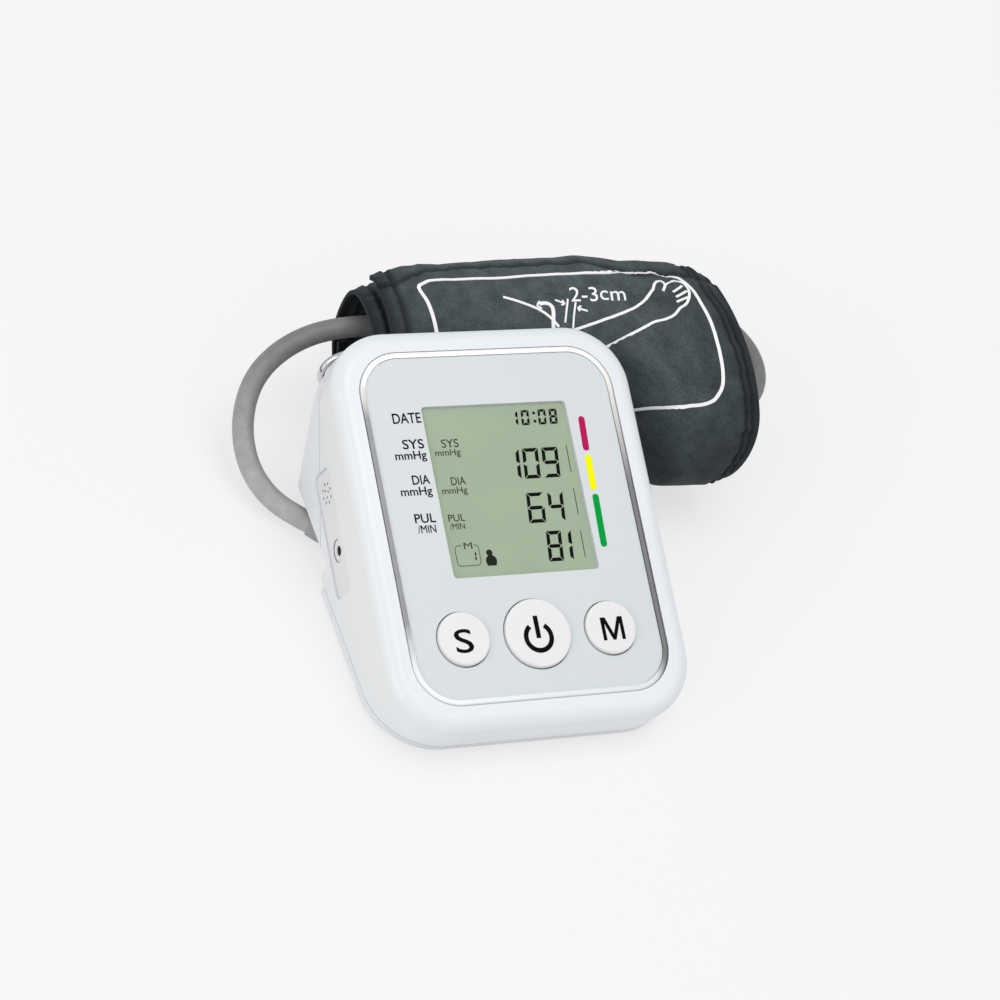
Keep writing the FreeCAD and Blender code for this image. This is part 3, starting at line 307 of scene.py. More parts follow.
def trim_finish():
    """The ring round the face, with a painted reflection: bright at its top, dark grey down its sides, pale
    at its foot.
    """
    finish = Finish("trim_silver", TRIM_SILVER, 0.3)
    # Painted reflection: dark down the ring's sides, bright at its top and pale at its foot, as a shiny ring
    # mirrors the room.
    side = finish.span(finish.math("ABSOLUTE", finish.axis("X")), 34.5 * MM, 38.5 * MM, 0.0, 1.0)
    right = finish.math("GREATER_THAN", finish.axis("X"), 0.0)
    left_fade = finish.run("Y", 69.0, 88.0, 1.0, 0.0)
    right_fade = finish.run("Y", 47.0, 83.0, 1.0, 0.0)
    below_top = finish.span(right, 0.0, 1.0, left_fade, right_fade)
    above_foot = finish.math("MAXIMUM", finish.run("Y", -6.0, 12.0), right)
    dark_reflection = finish.math("MULTIPLY", finish.math("MULTIPLY", side, below_top), above_foot)
    painted_highlight = finish.mix(finish.run("Y", -6.0, 20.0), TRIM_FOOT_REFLECTION, TRIM_TOP_HIGHLIGHT)
    finish.colour(finish.mix(dark_reflection, painted_highlight, TRIM_SIDE_REFLECTION))
    finish.feed("Metallic", finish.span(dark_reflection, 0.0, 1.0, 0.25, 0.85))
    finish.polish(finish.noise(3.0, 2.0), 0.27, 0.33)
    return finish.material


def hole_shaded_finish(name, colour, hole_shade, start_mm):
    """Insert plastic with painted shade inside its holes, dark past so many millimetres of X."""
    finish = Finish(name, colour, 0.4)
    # Painted shade: everything deeper than that X, in the holes and round the insert's edges, is coloured
    # dark.
    inside = finish.run("X", start_mm, start_mm + HOLE_EDGE)
    finish.colour(finish.mix(inside, finish.drift(colour), hole_shade))
    finish.bump(finish.noise(0.5, 2.0), 0.01, 0.25)
    return finish.material


def lens_finish():
    """The clear display window."""
    finish = Finish("lens_clear", (0.05, 0.06, 0.05), 0.08, Alpha=0.05)
    finish.polish(finish.noise(5.0, 3.0), 0.05, 0.1)
    return finish.material


def printed(name, colour, rough=0.45):
    """Ink or paint in a thin coat."""
    finish = Finish(name, colour, rough, Specular_IOR_Level=0.03)
    finish.colour(finish.ramp(finish.noise(0.4, 3.0), toned(colour, 0.9), colour, 0.25, 0.6))
    return finish.material


# Each finish's colour and roughness. A plastic may add its change of tone, its grain and the grain's depth.
PLASTICS = {
    "rear_white": ((0.77, 0.79, 0.82), 0.42),
    "foot_rubber": ((0.12, 0.12, 0.125), 0.75, 0.1, 0.3, 0.03),
    "frame_black": ((0.02, 0.02, 0.022), 0.5),
    "zebra_grey": ((0.10, 0.10, 0.11), 0.6),
    "board_green": ((0.02, 0.16, 0.06), 0.45),
    "chip_black": ((0.015, 0.015, 0.017), 0.5),
    "button_white": ((0.80, 0.80, 0.80), 0.3, 0.02),
    "door_white": ((0.77, 0.79, 0.82), 0.42),
    "cell_wrap": ((0.05, 0.16, 0.30), 0.3, 0.1),
    "air_plastic": ((0.55, 0.55, 0.53), 0.45),
    "tube_clear": ((0.62, 0.62, 0.58), 0.35),
    "plug_grey": ((0.33, 0.33, 0.335), 0.42),
    "bladder_rubber": ((0.05, 0.05, 0.055), 0.7, 0.1),
    "cuff_trim": ((0.02, 0.023, 0.025), 0.8, 0.2, 0.4, 0.05),
    "hook_black": ((0.02, 0.02, 0.022), 0.9, 0.3, 0.5, 0.3),
}
METALS = {
    "screw_steel": ((0.55, 0.55, 0.56), 0.3),
    "motor_metal": ((0.62, 0.62, 0.63), 0.32),
    "ring_wire": ((0.75, 0.75, 0.76), 0.16),
}
INKS = {
    "ink_black": ((0.003, 0.003, 0.004),),
    "ink_faint": ((0.058, 0.074, 0.049),),
    "ink_dark": ((0.014, 0.019, 0.013),),
    "segment_black": ((0.002, 0.002, 0.002), 0.4),
    "print_white": ((0.95, 0.955, 0.955), 0.6),
    "bar_crimson": ((0.50, 0.010, 0.105),),
    "bar_yellow": ((0.97, 0.96, 0.0),),
    "bar_green": ((0.0, 0.352, 0.051),),
}
# Each insert's colour, the colour of the painted shade in its holes, and the X where its holes start.
INSERTS = {
    "insert_grey": ((0.73, 0.74, 0.75), (0.05, 0.05, 0.055), -46.7),
    "jack_grey": ((0.72, 0.73, 0.74), (0.06, 0.065, 0.07), -46.3),
}
finishes = {
    "case_white": case_finish(), "trim_silver": trim_finish(), "panel_grey": panel_finish(),
    "lens_clear": lens_finish(), "lcd_green": glass_finish(), "hose_grey": hose_finish(),
    "cuff_cloth": cloth_finish(),
}
for table, make in ((PLASTICS, plastic), (METALS, metal), (INKS, printed), (INSERTS, hole_shaded_finish)):
    for finish_name, values in table.items():
        finishes[finish_name] = make(finish_name, *values)

FINISHED_NODES = {
    "case_white": ("front_shell",), "rear_white": ("rear_shell",), "trim_silver": ("face_trim",),
    "panel_grey": ("face_panel",), "insert_grey": ("port_panel",), "foot_rubber": ("rubber_feet",),
    "screw_steel": ("case_screws", "board_screws", "battery_springs", "battery_plates"),
    "lens_clear": ("lcd_window",), "lcd_green": ("lcd_glass",),
    "frame_black": ("lcd_frame", "speaker", "air_socket"), "jack_grey": ("dc_jack",),
    "zebra_grey": ("zebra_strips",), "board_green": ("main_board",),
    "chip_black": ("board_chips", "tact_switches", "pressure_sensor"),
    "button_white": ("set_button", "power_button", "memory_button"), "door_white": ("battery_door",),
    "cell_wrap": ("battery_cells",), "motor_metal": ("pump_motor",),
    "air_plastic": ("pump_head", "release_valve", "air_manifold"), "tube_clear": ("inner_tubes",),
    "plug_grey": ("air_plug", "cuff_port"), "hose_grey": ("air_hose",),
    "cuff_cloth": ("cuff_outer_lap", "cuff_inner_lap"), "bladder_rubber": ("cuff_bladder",),
    "hook_black": ("hook_patch",), "cuff_trim": ("flap_binding", "end_binding", "d_ring_tab"),
    "ring_wire": ("d_ring",),
}


def dress(piece, finish):
    """Gives a piece one finish all over."""
    piece.data.materials.clear()
    piece.data.materials.append(finishes[finish])


for finish_name, node_names in FINISHED_NODES.items():
    for node_name in node_names:
        dress(nodes[node_name], finish_name)


# Modelling helpers ----------------------------------------------------

MERGE_GAP = 1e-7
WORD_FINENESS, WORD_HALF_DEPTH = 5, 0.05


def alone(piece):
    """Selects one piece and nothing else."""
    bpy.ops.object.select_all(action="DESELECT")
    piece.select_set(True)
    bpy.context.view_layer.objects.active = piece


def open_mesh(piece):
    """Starts to edit a piece's mesh, with all of it selected."""
    alone(piece)
    bpy.ops.object.mode_set(mode="EDIT")
    bpy.ops.mesh.select_all(action="SELECT")


def close_mesh():
    """Turns the mesh's faces outwards and ends the editing."""
    bpy.ops.mesh.select_all(action="SELECT")
    bpy.ops.mesh.normals_make_consistent(inside=False)
    bpy.ops.object.mode_set(mode="OBJECT")


def merge(piece):
    """Merges a piece's doubled points and turns its faces outwards."""
    open_mesh(piece)
    bpy.ops.mesh.remove_doubles(threshold=MERGE_GAP)
    close_mesh()


def new_piece(name, points, faces):
    """A mesh from points in metres."""
    mesh = bpy.data.meshes.new(name)
    mesh.from_pydata([tuple(point) for point in points], [], faces)
    mesh.update()
    piece = bpy.data.objects.new(name, mesh)
    bpy.context.scene.collection.objects.link(piece)
    return piece


def join(pieces):
    """Several pieces as one mesh."""
    alone(pieces[0])
    for piece in pieces[1:]:
        piece.select_set(True)
    if len(pieces) > 1:
        bpy.ops.object.join()
    return bpy.context.view_layer.objects.active


def settle(piece, name, body, finish, place=None):
    """Puts a modelled piece in its place, names and dresses it, and lets it ride on a body."""
    alone(piece)
    bpy.ops.object.transform_apply(location=True, rotation=True, scale=True)
    if place is not None:
        piece.data.transform(place)
    piece.name = name
    piece.data.name = name
    dress(piece, finish)
    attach(piece, body)
    return piece


def flat_words(words, weight=0.0):
    """Words as a mesh: standing on y = 0 from x = 0, with capitals 1 high, a little above and below z = 0."""
    meshes = []
    for content in ("H", words):
        bpy.ops.object.select_all(action="DESELECT")
        bpy.ops.object.text_add()
        label = bpy.context.object
        label.data.body = content
        label.data.resolution_u = WORD_FINENESS
        label.data.extrude = WORD_HALF_DEPTH
        label.data.offset = weight
        bpy.ops.object.convert(target="MESH")
        meshes.append(bpy.context.object)
    capital, label = meshes
    foot = min(vertex.co.y for vertex in capital.data.vertices)
    cap = max(vertex.co.y for vertex in capital.data.vertices) - foot
    left = min(vertex.co.x for vertex in label.data.vertices)
    for vertex in label.data.vertices:
        vertex.co.x = (vertex.co.x - left) / cap
        vertex.co.y = (vertex.co.y - foot) / cap
    bpy.data.objects.remove(capital)
    merge(label)
    return label


# The air hose ---------------------------------------------------------

HOSE_DIAMETER = 6.4 * MM
HOSE_FINENESS = 8
HOSE_ROUTE = [
    (-0.04258, 0.06479, 0.0049),
    (-0.0495, 0.0702, 0.0049),
    (-0.0556, 0.0775, 0.0053),
    (-0.0593, 0.0862, 0.0077),
    (-0.0600, 0.0952, 0.0117),
    (-0.0580, 0.1035, 0.0161),
    (-0.0539, 0.1102, 0.0205),
    (-0.0472, 0.1152, 0.0243),
    (-0.0382, 0.1186, 0.0276),
    (-0.0284, 0.1199, 0.0296),
    (-0.0140, 0.1200, 0.0305),
    (0.0060, 0.1192, 0.0300),
    (0.0360, 0.1186, 0.0302),
    (0.0640, 0.1193, 0.0300),
    (0.0822, 0.1207, 0.0299),
    (0.0933, 0.1210, 0.0298),
    (0.1022, 0.1159, 0.0293),
    (0.1072, 0.1071, 0.0287),
    (0.1074, 0.0969, 0.0280),
    (0.1023, 0.0881, 0.0273),
    (0.0934, 0.0836, 0.0267),
    (0.0828, 0.0831, 0.0265),
    (0.0721, 0.0830, 0.0265),
]


def make_hose():
    """The hose, from the plug round the left, through the roll and into the elbow at its right end."""
    curve = bpy.data.curves.new("air_line", "CURVE")
    curve.dimensions = "3D"
    spline = curve.splines.new("NURBS")
    spline.points.add(len(HOSE_ROUTE) - 1)
    for point, place in zip(spline.points, HOSE_ROUTE):
        point.co = (*place, 1)
    spline.order_u = 3
    spline.use_endpoint_u = True
    spline.resolution_u = HOSE_FINENESS
    curve.bevel_depth = HOSE_DIAMETER / 2
    curve.bevel_resolution = HOSE_FINENESS
    curve.use_fill_caps = True
    hose = bpy.data.objects.new("air_line", curve)
    bpy.context.scene.collection.objects.link(hose)
    curve.materials.append(finishes["hose_grey"])
    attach(hose, "monitor")
    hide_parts("air_hose")


make_hose()


# The cuff's roll ------------------------------------------------------

# A place on the roll is a distance across it, along x, and a turn in degrees: 90 is the top, 180 the front.
FLAP_TURN, STRIP_TURN = 44.0, 690.0
FLAP_CORNER = 16.0
STRIP_LEFT, STRIP_RIGHT = -20.2, 93.1
LEFT_DRIFT, RIGHT_DRIFT, FLAP_INSET = 2.6, 5.0, 1.8

# How long a degree of turn is along the cloth, and how far the seams lie from the strip's edges.
DEGREE = 0.44
LEFT_SEAM, RIGHT_SEAM, TWIN_SEAM, HEM_SEAM = 4.6, 5.2, 2.2, 7.6
SEAM_INSET = 2.2
HEM_THICKNESS, PAD_THICKNESS = 1.3, 3.9

# How deep the strip goes where it passes under its own first turn, and under the roll.
FIRST_DROP, SECOND_DROP = 2.5, 4.4
UNDER_DROP, UNDER_DROP_LEFT = 0.8, 3.4

# The relief: rounded edges, the stitches of the four seams, the puckers beside them, and soft waves.
SIDE_ROUND, END_ROUND = 1.5, 0.9
SEAM_DEPTHS = (1.0, 1.15, 0.8, 0.75)
STITCH_WIDTH, PUCKER_WIDTH = 0.8, 4.0
PUCKER, SMALL_PUCKER = 0.75, 0.35
WAVE, RIPPLE, WAVE_LOSS = 0.9, 0.35, 0.8
CREASE_DEPTH, CREASE_PLACE, CREASE_TURN, CREASE_LEAN = 0.5, 60.0, 90.0, 0.10
SAG, SAG_TURN, SAG_WIDTH = 1.0, 204.0, 36.0
RIDGE_TURN, RIDGE_WIDTH = 46.0, 26.0
# How far the roll's top stands up behind, along x.
RIDGE = ((-20, 2.4), (-12, 2.5), (-4, 1.7), (4, 1.2), (14, 1.6), (24, 2.2), (40, 2.3), (52, 2.9), (60, 3.7),
         (70, 3.9), (78, 3.4), (85, 2.2), (92, 1.2))
# How near to the table the cloth comes.
LOWEST = 0.12

# The mesh, whose columns stand closer near the edges, and how dark the cloth is at edges and seams, its dark
# binding and stitches with painted shade, and inside, painted shade within the roll.
CUFF_COLUMNS, CUFF_ROWS = 84, 430
EDGE_CROWDING = 0.1
MIDDLE_PLACE = 20.0
EDGE_DARK_AND_SHADE, SEAM_DARK_AND_SHADE, INSIDE_SHADE = 0.8, 0.85, 0.75
EDGE_DARK_WIDTH, SEAM_DARK_WIDTH = 2.6, 1.1


def soft_step(value, start, end):
    """A soft step from 0 to 1 as a value goes from start to end."""
    share = min(1.0, max(0.0, (value - start) / (end - start)))
    return share * share * (3 - 2 * share)


def hump(value, width):
    """A soft bump round 0."""
    return math.exp(-(value / width) ** 2)


def between(table, place):
    """A table's value at a place, with soft steps from each entry to the next."""
    for (start, low), (end, high) in zip(table, table[1:]):
        if place <= end:
            return low + (high - low) * soft_step(place, start, end)
    return table[-1][1]


def roll_section(across):
    """The centre and half depth of the roll at a place along x."""
    swell = soft_step(across, ROLL_SWELL_START, ROLL_SWELL_END)
    front = ROLL_FRONT_BEHIND + (ROLL_FRONT_BESIDE - ROLL_FRONT_BEHIND) * swell
    return (ROLL_BACK + front) / 2, (ROLL_BACK - front) / 2


def sag(across, turn):
    """How far the roll's open part bulges low in front, where it rests on the table."""
    return SAG * soft_step(across, 48, 70) * hump(turn % 360 - SAG_TURN, SAG_WIDTH)


def roll_point(across, turn, inset):
    """A point of the roll, a distance inside its outer form and no lower than the table."""
    centre, half = roll_section(across)
    angle = math.radians(turn)
    out = sag(across, turn) - inset
    height = ROLL_HALF_HEIGHT + (ROLL_HALF_HEIGHT + out) * math.sin(angle)
    return Vector((across, centre + (half + out) * math.cos(angle), max(LOWEST, height)))


def flap_end(across):
    """The turn where the flap's end edge lies. Its left corner comes forward."""
    return FLAP_TURN + FLAP_CORNER * soft_step(across, 2, -18)


def side_edges(turn):
    """The strip's left and right edges. It is wound a little askew."""
    left = STRIP_LEFT - LEFT_DRIFT * soft_step(turn, 215, 335)
    right = STRIP_RIGHT - FLAP_INSET * soft_step(turn, 66, 50) - RIGHT_DRIFT * soft_step(turn, 142, 206)
    return left, right


def winding(across, turn):
    """How far inside the roll's outer form the strip runs. It is wound tighter at its left end."""
    left = soft_step(across, 6, -20)
    plain = FIRST_DROP * soft_step(turn, 330, 404) + SECOND_DROP * soft_step(turn, 404, 464)
    tight = (FIRST_DROP + SECOND_DROP) * soft_step(turn, 225, 325)
    under = (UNDER_DROP + UNDER_DROP_LEFT * left) * soft_step(turn, 585, 665)
    return plain + (tight - plain) * left + under


def seam_gaps(across, turn):
    """How far a place is from each stitched seam: the left one, the two on the right and the flap's hem."""
    left, right = side_edges(turn)
    line = right - RIGHT_SEAM - SEAM_INSET * soft_step(turn, 90, 60)
    return (across - left - LEFT_SEAM, across - line, across - line - TWIN_SEAM,
            (turn - flap_end(across)) * DEGREE - HEM_SEAM)


def cloth_relief(across, turn):
    """How far the strip's outer surface stands off its plain form, in millimetres."""
    left, right = side_edges(turn)
    edge = min(across - left, right - across)
    from_end = (turn - flap_end(across)) * DEGREE
    out = -SIDE_ROUND * (1 - soft_step(edge, 0, 5)) - END_ROUND * (1 - soft_step(from_end, 0, 3.5))
    out += between(RIDGE, across) * hump(turn % 360 - RIDGE_TURN, RIDGE_WIDTH)
    hem = len(SEAM_DEPTHS) - 1
    for index, (gap, depth) in enumerate(zip(seam_gaps(across, turn), SEAM_DEPTHS)):
        along = across * 0.30 if index == hem else turn * 0.17
        pucker = PUCKER * noise.noise(Vector((along, index * 7.0, 1.7)))
        pucker += SMALL_PUCKER * noise.noise(Vector((along * 2.3, index * 5.0, 9.1)))
        out += pucker * hump(gap, PUCKER_WIDTH) * soft_step(edge, 0, 2) - depth * hump(gap, STITCH_WIDTH)
    wave = WAVE * noise.noise(Vector((across * 0.035, turn * 0.016, 3.0)))
    wave += RIPPLE * noise.noise(Vector((across * 0.11, turn * 0.045, 11.0)))
    out += wave * soft_step(edge, 0, 8) * (1 - WAVE_LOSS * hump(turn % 360 - 44, 24))
    crease = across - CREASE_PLACE - CREASE_LEAN * (turn - CREASE_TURN)
    return out - CREASE_DEPTH * hump(crease, 2.2) * hump(turn - 95, 30)


def cloth_thickness(across, turn):
    """The strip's thickness: thin at its hems, padded between them."""
    left, right = side_edges(turn)
    edge = min(across - left, right - across)
    end = min(turn - flap_end(across), STRIP_TURN - turn) * DEGREE
    padding = (PAD_THICKNESS - HEM_THICKNESS) * soft_step(edge, 1.5, 10) * soft_step(end, 3, 12)
    return HEM_THICKNESS + padding


def cuff_surface(across, turn, out=0.0):
    """A point on the strip's outer surface, or a little off it."""
    return roll_point(across, turn, winding(across, turn) - cloth_relief(across, turn) - out)


def strip_place(done, share):
    """The place at a share of the strip's length and width, and the turn where the flap starts there."""
    turn = FLAP_TURN + (STRIP_TURN - FLAP_TURN) * done
    left, right = side_edges(turn)
    start = flap_end(left + (right - left) * share)
    turn = start + (STRIP_TURN - start) * done
    left, right = side_edges(turn)
    return left + (right - left) * share, turn, start


def cloth_hems_and_shade(across, turn, start, inside):
    """How dark the cloth is at a place, from 0 to 1: dark binding and stitches with painted shade at edges
    and seams, and painted shade on the inside. Start is the turn where the flap starts.
    """
    left, right = side_edges(turn)
    edge = min(across - left, right - across, (turn - start) * DEGREE)
    seam = max(hump(gap, SEAM_DARK_WIDTH) for gap in seam_gaps(across, turn))
    # Dark binding and stitches at the edges and seams, with painted shade there, and painted shade on the
    # inside.
    darkening = EDGE_DARK_AND_SHADE * hump(edge, EDGE_DARK_WIDTH) + SEAM_DARK_AND_SHADE * seam
    return min(1.0, darkening + (INSIDE_SHADE if inside else 0.0))


def make_cuff():
    """The cuff: one padded strip wound nearly twice round, a closed mesh mapped in millimetres."""
    points, faces, maps, dark_hems_and_shade = [], [], [], []
    length = 0.0
    previous = None
    for row in range(CUFF_ROWS + 1):
        done = row / CUFF_ROWS
        turn = FLAP_TURN + (STRIP_TURN - FLAP_TURN) * done
        middle = roll_point(MIDDLE_PLACE, turn, winding(MIDDLE_PLACE, turn))
        length += (middle - previous).length if previous else 0.0
        previous = middle
        for inside in (False, True):
            for column in range(CUFF_COLUMNS + 1):
                share = 1 - column / CUFF_COLUMNS if inside else column / CUFF_COLUMNS
                share -= EDGE_CROWDING * math.sin(math.tau * share)
                across, turn, start = strip_place(done, share)
                depth = cloth_thickness(across, turn) if inside else 0.0
                points.append(cuff_surface(across, turn, -depth) * MM)
                maps.append((across, length))
                dark_hems_and_shade.append(cloth_hems_and_shade(across, turn, start, inside))
    ring = 2 * (CUFF_COLUMNS + 1)
    for row in range(CUFF_ROWS):
        for column in range(ring):
            first, second = row * ring + column, row * ring + (column + 1) % ring
            faces.append((first, second, second + ring, first + ring))
    for base, flip in ((0, True), (CUFF_ROWS * ring, False)):
        for column in range(CUFF_COLUMNS):
            cap = (base + column, base + column + 1, base + ring - 2 - column, base + ring - 1 - column)
            faces.append(tuple(reversed(cap)) if flip else cap)
    piece = new_piece("cuff_roll", points, faces)
    cloth_map = piece.data.uv_layers.new(name="cloth")
    for loop in piece.data.loops:
        cloth_map.data[loop.index].uv = maps[loop.vertex_index]
    piece.data.attributes.new("dark_hems_and_shade", "FLOAT", "POINT").data.foreach_set("value", dark_hems_and_shade)
    merge(piece)
    bpy.ops.object.shade_smooth()
    return settle(piece, "cuff_roll", "monitor", "cuff_cloth")


cuff = make_cuff()
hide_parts("cuff_outer_lap", "cuff_inner_lap", "flap_binding", "end_binding", "cuff_bladder",
            "hook_patch")


# The print on the cuff ------------------------------------------------

PRINT_RAISE, PRINT_SINK = 0.10, 0.25
LINE_WIDTH, BORDER_WIDTH, HOOK_WIDTH, MARK_WIDTH = 0.85, 1.15, 1.2, 0.6
LINE_STEP, MARK_STEP = 0.8, 0.6
SPREAD_BEHIND, SPREAD_IN_FRONT = 0.5, 0.85
WORD_CUTS = 12


def curve_through(corners, step):
    """A smooth line through some corners, in places (x, turn) on the roll."""
    ends = [corners[0], *corners, corners[-1]]
    places = []
    for index in range(len(corners) - 1):
        before, first, second, after = (Vector(ends[index + shift]) for shift in range(4))
        reach = (cuff_surface(*second) - cuff_surface(*first)).length
        count = max(1, round(reach / step))
        for part in range(count):
            share = part / count
            places.append(0.5 * (2 * first + (second - before) * share
                          + (2 * before - 5 * first + 4 * second - after) * share ** 2
                          + (3 * first - before - 3 * second + after) * share ** 3))
    places.append(Vector(corners[-1]))
    return places


def print_spread(across, turn):
    """How much wider a printed line is where the cloth was stretched under it."""
    behind_flap = soft_step(across, 46, 54) * soft_step(across, 68, 62) * soft_step(turn, 80, 74)
    return 1.0 + SPREAD_BEHIND * behind_flap + SPREAD_IN_FRONT * soft_step(turn, 137, 157)


def cuff_stroke(corners, width=LINE_WIDTH, step=LINE_STEP):
    """A printed line on the roll: a thin closed band that follows the cloth."""
    places = curve_through(corners, step)
    line = [cuff_surface(*place) for place in places]
    points, faces = [], []
    for index, (place, spot) in enumerate(zip(places, line)):
        along = (line[min(len(line) - 1, index + 1)] - line[max(0, index - 1)]).normalized()
        out = (cuff_surface(*place, 1.0) - spot).normalized()
        side = along.cross(out).normalized() * (width / 2 * print_spread(*place))
        top, bottom = spot + out * PRINT_RAISE, spot - out * PRINT_SINK
        points += [(top + side) * MM, (top - side) * MM, (bottom - side) * MM, (bottom + side) * MM]
    for base in range(0, 4 * (len(line) - 1), 4):
        for corner in range(4):
            following = (corner + 1) % 4
            faces.append((base + corner, base + following, base + 4 + following, base + 4 + corner))
    last = 4 * (len(line) - 1)
    faces += [(3, 2, 1, 0), (last, last + 1, last + 2, last + 3)]
    return new_piece("stroke", points, faces)


def along_line(places, share):
    """The place at a share of a line of evenly spread places."""
    spot = min(max(share, 0.0), 1.0) * (len(places) - 1)
    first = min(int(spot), len(places) - 2)
    return Vector(places[first]).lerp(Vector(places[first + 1]), spot - first)


def cuff_words(words, low_line, high_line):
    """Printed words on the roll, between a line of places (x, turn) at their feet and one at their tops."""
    label = flat_words(words)
    reach = label.dimensions.x
    open_mesh(label)
    for index in range(1, WORD_CUTS):
        bpy.ops.mesh.select_all(action="SELECT")
        bpy.ops.mesh.bisect(plane_co=(0, index / WORD_CUTS, 0), plane_no=(0, 1, 0))
    bpy.ops.object.mode_set(mode="OBJECT")
    for vertex in label.data.vertices:
        along, up = vertex.co.x / reach, vertex.co.y
        raised = PRINT_RAISE if vertex.co.z > 0 else -PRINT_SINK
        low, high = along_line(low_line, along), along_line(high_line, along)
        vertex.co = cuff_surface(*(low + (high - low) * up), raised) * MM
    return label


# The printed lines, as places on the roll: the border, the arm and hand, the bent arrow and the gap mark.
BORDER = [
    (-6.9, 150.0), (-6.9, 128.0), (-6.9, 116.0), (-7.2, 104.0), (-7.6, 93.5), (-8.4, 84.0), (-7.9, 80.2),
    (-6.0, 77.7), (-4.4, 76.1), (-1.7, 75.3), (3.0, 74.8), (8.5, 75.1), (14.3, 75.5), (19.6, 75.4),
    (26.8, 74.3), (33.1, 74.0), (39.5, 74.0), (46.9, 73.9), (50.0, 73.6), (53.2, 70.8), (56.7, 66.6),
    (60.4, 62.0), (63.4, 60.2), (66.3, 59.8), (69.3, 60.0), (72.3, 60.5), (75.6, 61.4), (78.0, 63.9),
    (79.8, 66.6), (81.3, 69.8), (82.1, 74.0), (82.4, 80.5), (82.8, 91.1), (82.3, 105.8), (81.5, 118.8),
    (80.3, 126.8), (78.1, 131.9), (76.3, 134.4), (73.8, 135.8), (71.1, 136.4), (68.4, 136.5), (65.3, 137.6),
    (62.8, 141.5), (60.7, 146.8), (59.2, 151.5), (58.0, 155.9), (57.0, 159.9), (56.2, 163.2),
]
ARM = [
    [(17.4, 93.2), (22.5, 97.5), (27.7, 103.4), (31.2, 110.6), (33.3, 117.2)],
    [(37.3, 120.1), (40.6, 118.1), (44.0, 116.0), (47.4, 114.0), (50.8, 111.0), (54.0, 103.9), (57.4, 94.6),
     (60.6, 86.2), (65.5, 76.0), (68.3, 71.7)],
    [(68.3, 71.7), (69.9, 68.2), (72.2, 67.2), (73.0, 69.4), (71.2, 73.3)],
    [(73.0, 69.4), (76.0, 66.6), (78.5, 67.2), (80.0, 69.4), (80.3, 73.2), (79.0, 77.7), (76.9, 81.6),
     (74.2, 83.9)],
    [(74.2, 83.9), (71.4, 87.6), (68.4, 89.5), (65.7, 90.8), (63.5, 93.3), (61.1, 98.1), (58.4, 105.7),
     (55.4, 115.1), (52.7, 123.8), (50.5, 129.5), (48.2, 132.7)],
    [(74.5, 73.9), (78.7, 70.1)],
    [(74.7, 77.1), (79.6, 73.2)],
    [(74.1, 80.2), (78.9, 77.1)],
]
HOOK = [(31.1, 121.3), (31.7, 113.6), (32.5, 105.5), (32.4, 101.9), (31.6, 99.8), (30.2, 99.0), (28.6, 99.8)]
GAP_MARKS = [
    [(29.0, 97.4), (27.8, 100.6), (29.0, 103.3)],
    [(38.6, 96.1), (37.0, 105.5), (35.7, 114.1)],
    [(40.9, 98.8), (39.3, 108.5), (38.1, 118.3)],
    [(34.2, 96.8), (36.8, 99.5)],
    [(36.6, 97.0), (37.0, 99.7), (35.8, 101.0)],
    [(44.1, 106.1), (41.3, 103.5)],
    [(42.4, 101.9), (41.2, 103.4), (41.6, 105.8)],
]
GAP_LABEL_LOW = [(39.5, 98.1), (44.1, 98.4), (48.6, 98.9), (53.0, 95.5), (57.5, 87.7)]
GAP_LABEL_HIGH = [(40.2, 86.5), (44.8, 87.0), (49.4, 87.3), (54.0, 83.1), (58.8, 75.4)]

cuff_print = [cuff_stroke(BORDER, BORDER_WIDTH), cuff_stroke(HOOK, HOOK_WIDTH)]
cuff_print += [cuff_stroke(line) for line in ARM]
cuff_print += [cuff_stroke(line, MARK_WIDTH, MARK_STEP) for line in GAP_MARKS]
cuff_print.append(cuff_words("2-3cm", GAP_LABEL_LOW, GAP_LABEL_HIGH))
settle(join(cuff_print), "cuff_print", "monitor", "print_white")


# The display and the lettering ----------------------------------------

# How far ink stands above what it is printed on, and how far it reaches into it.
INK, SINK = 0.08, 0.1
BAR_WIDTH, BAR_END_STEPS = 2.0, 8

# Each figure's lit segments: a on top, b and c at the right, d at the foot, e and f at the left, g across.
DIGIT_SEGMENTS = {"0": "abcdef", "1": "bc", "4": "bcfg", "6": "acdefg", "8": "abcdefg", "9": "abcdfg"}
DIGIT_LEAN = 0.09
# Shares of a segment's thickness.
SEGMENT_GAP, SEGMENT_TIP, SEGMENT_MITRE = 0.16, 0.25, 0.6


def spoke(angle):
    """A step of 1 at an angle in degrees."""
    return Vector((math.cos(math.radians(angle)), math.sin(math.radians(angle))))


def arc(middle, radius, start, end, steps):
    """Points along an arc, its angles in degrees."""
    angles = [start + (end - start) * step / steps for step in range(steps + 1)]
    return [Vector(middle) + radius * spoke(angle) for angle in angles]


def disc(middle, radius, steps=28):
    """The outline of a round dot."""
    return [Vector(middle) + radius * spoke(360 * step / steps) for step in range(steps)]


def rounded_outline(middle, size, corner, steps=8):
    """The outline of a rectangle with round corners."""
    outline = []
    for side_x, side_y, start in ((1, 1, 0), (-1, 1, 90), (-1, -1, 180), (1, -1, 270)):
        centre = (middle[0] + side_x * (size[0] / 2 - corner), middle[1] + side_y * (size[1] / 2 - corner))
        outline += arc(centre, corner, start, start + 90, steps)
    return outline


def bar(first, last, width):
    """The outline of a bar with round ends."""
    first, last = Vector(first), Vector(last)
    along = (last - first).normalized()
    side = Vector((-along.y, along.x))
    outline = []
    for end, way, across in ((last, along, side), (first, -along, -side)):
        for step in range(BAR_END_STEPS + 1):
            angle = math.pi * (step / BAR_END_STEPS - 0.5)
            outline.append(end + (way * math.cos(angle) + across * math.sin(angle)) * width / 2)
    return outline


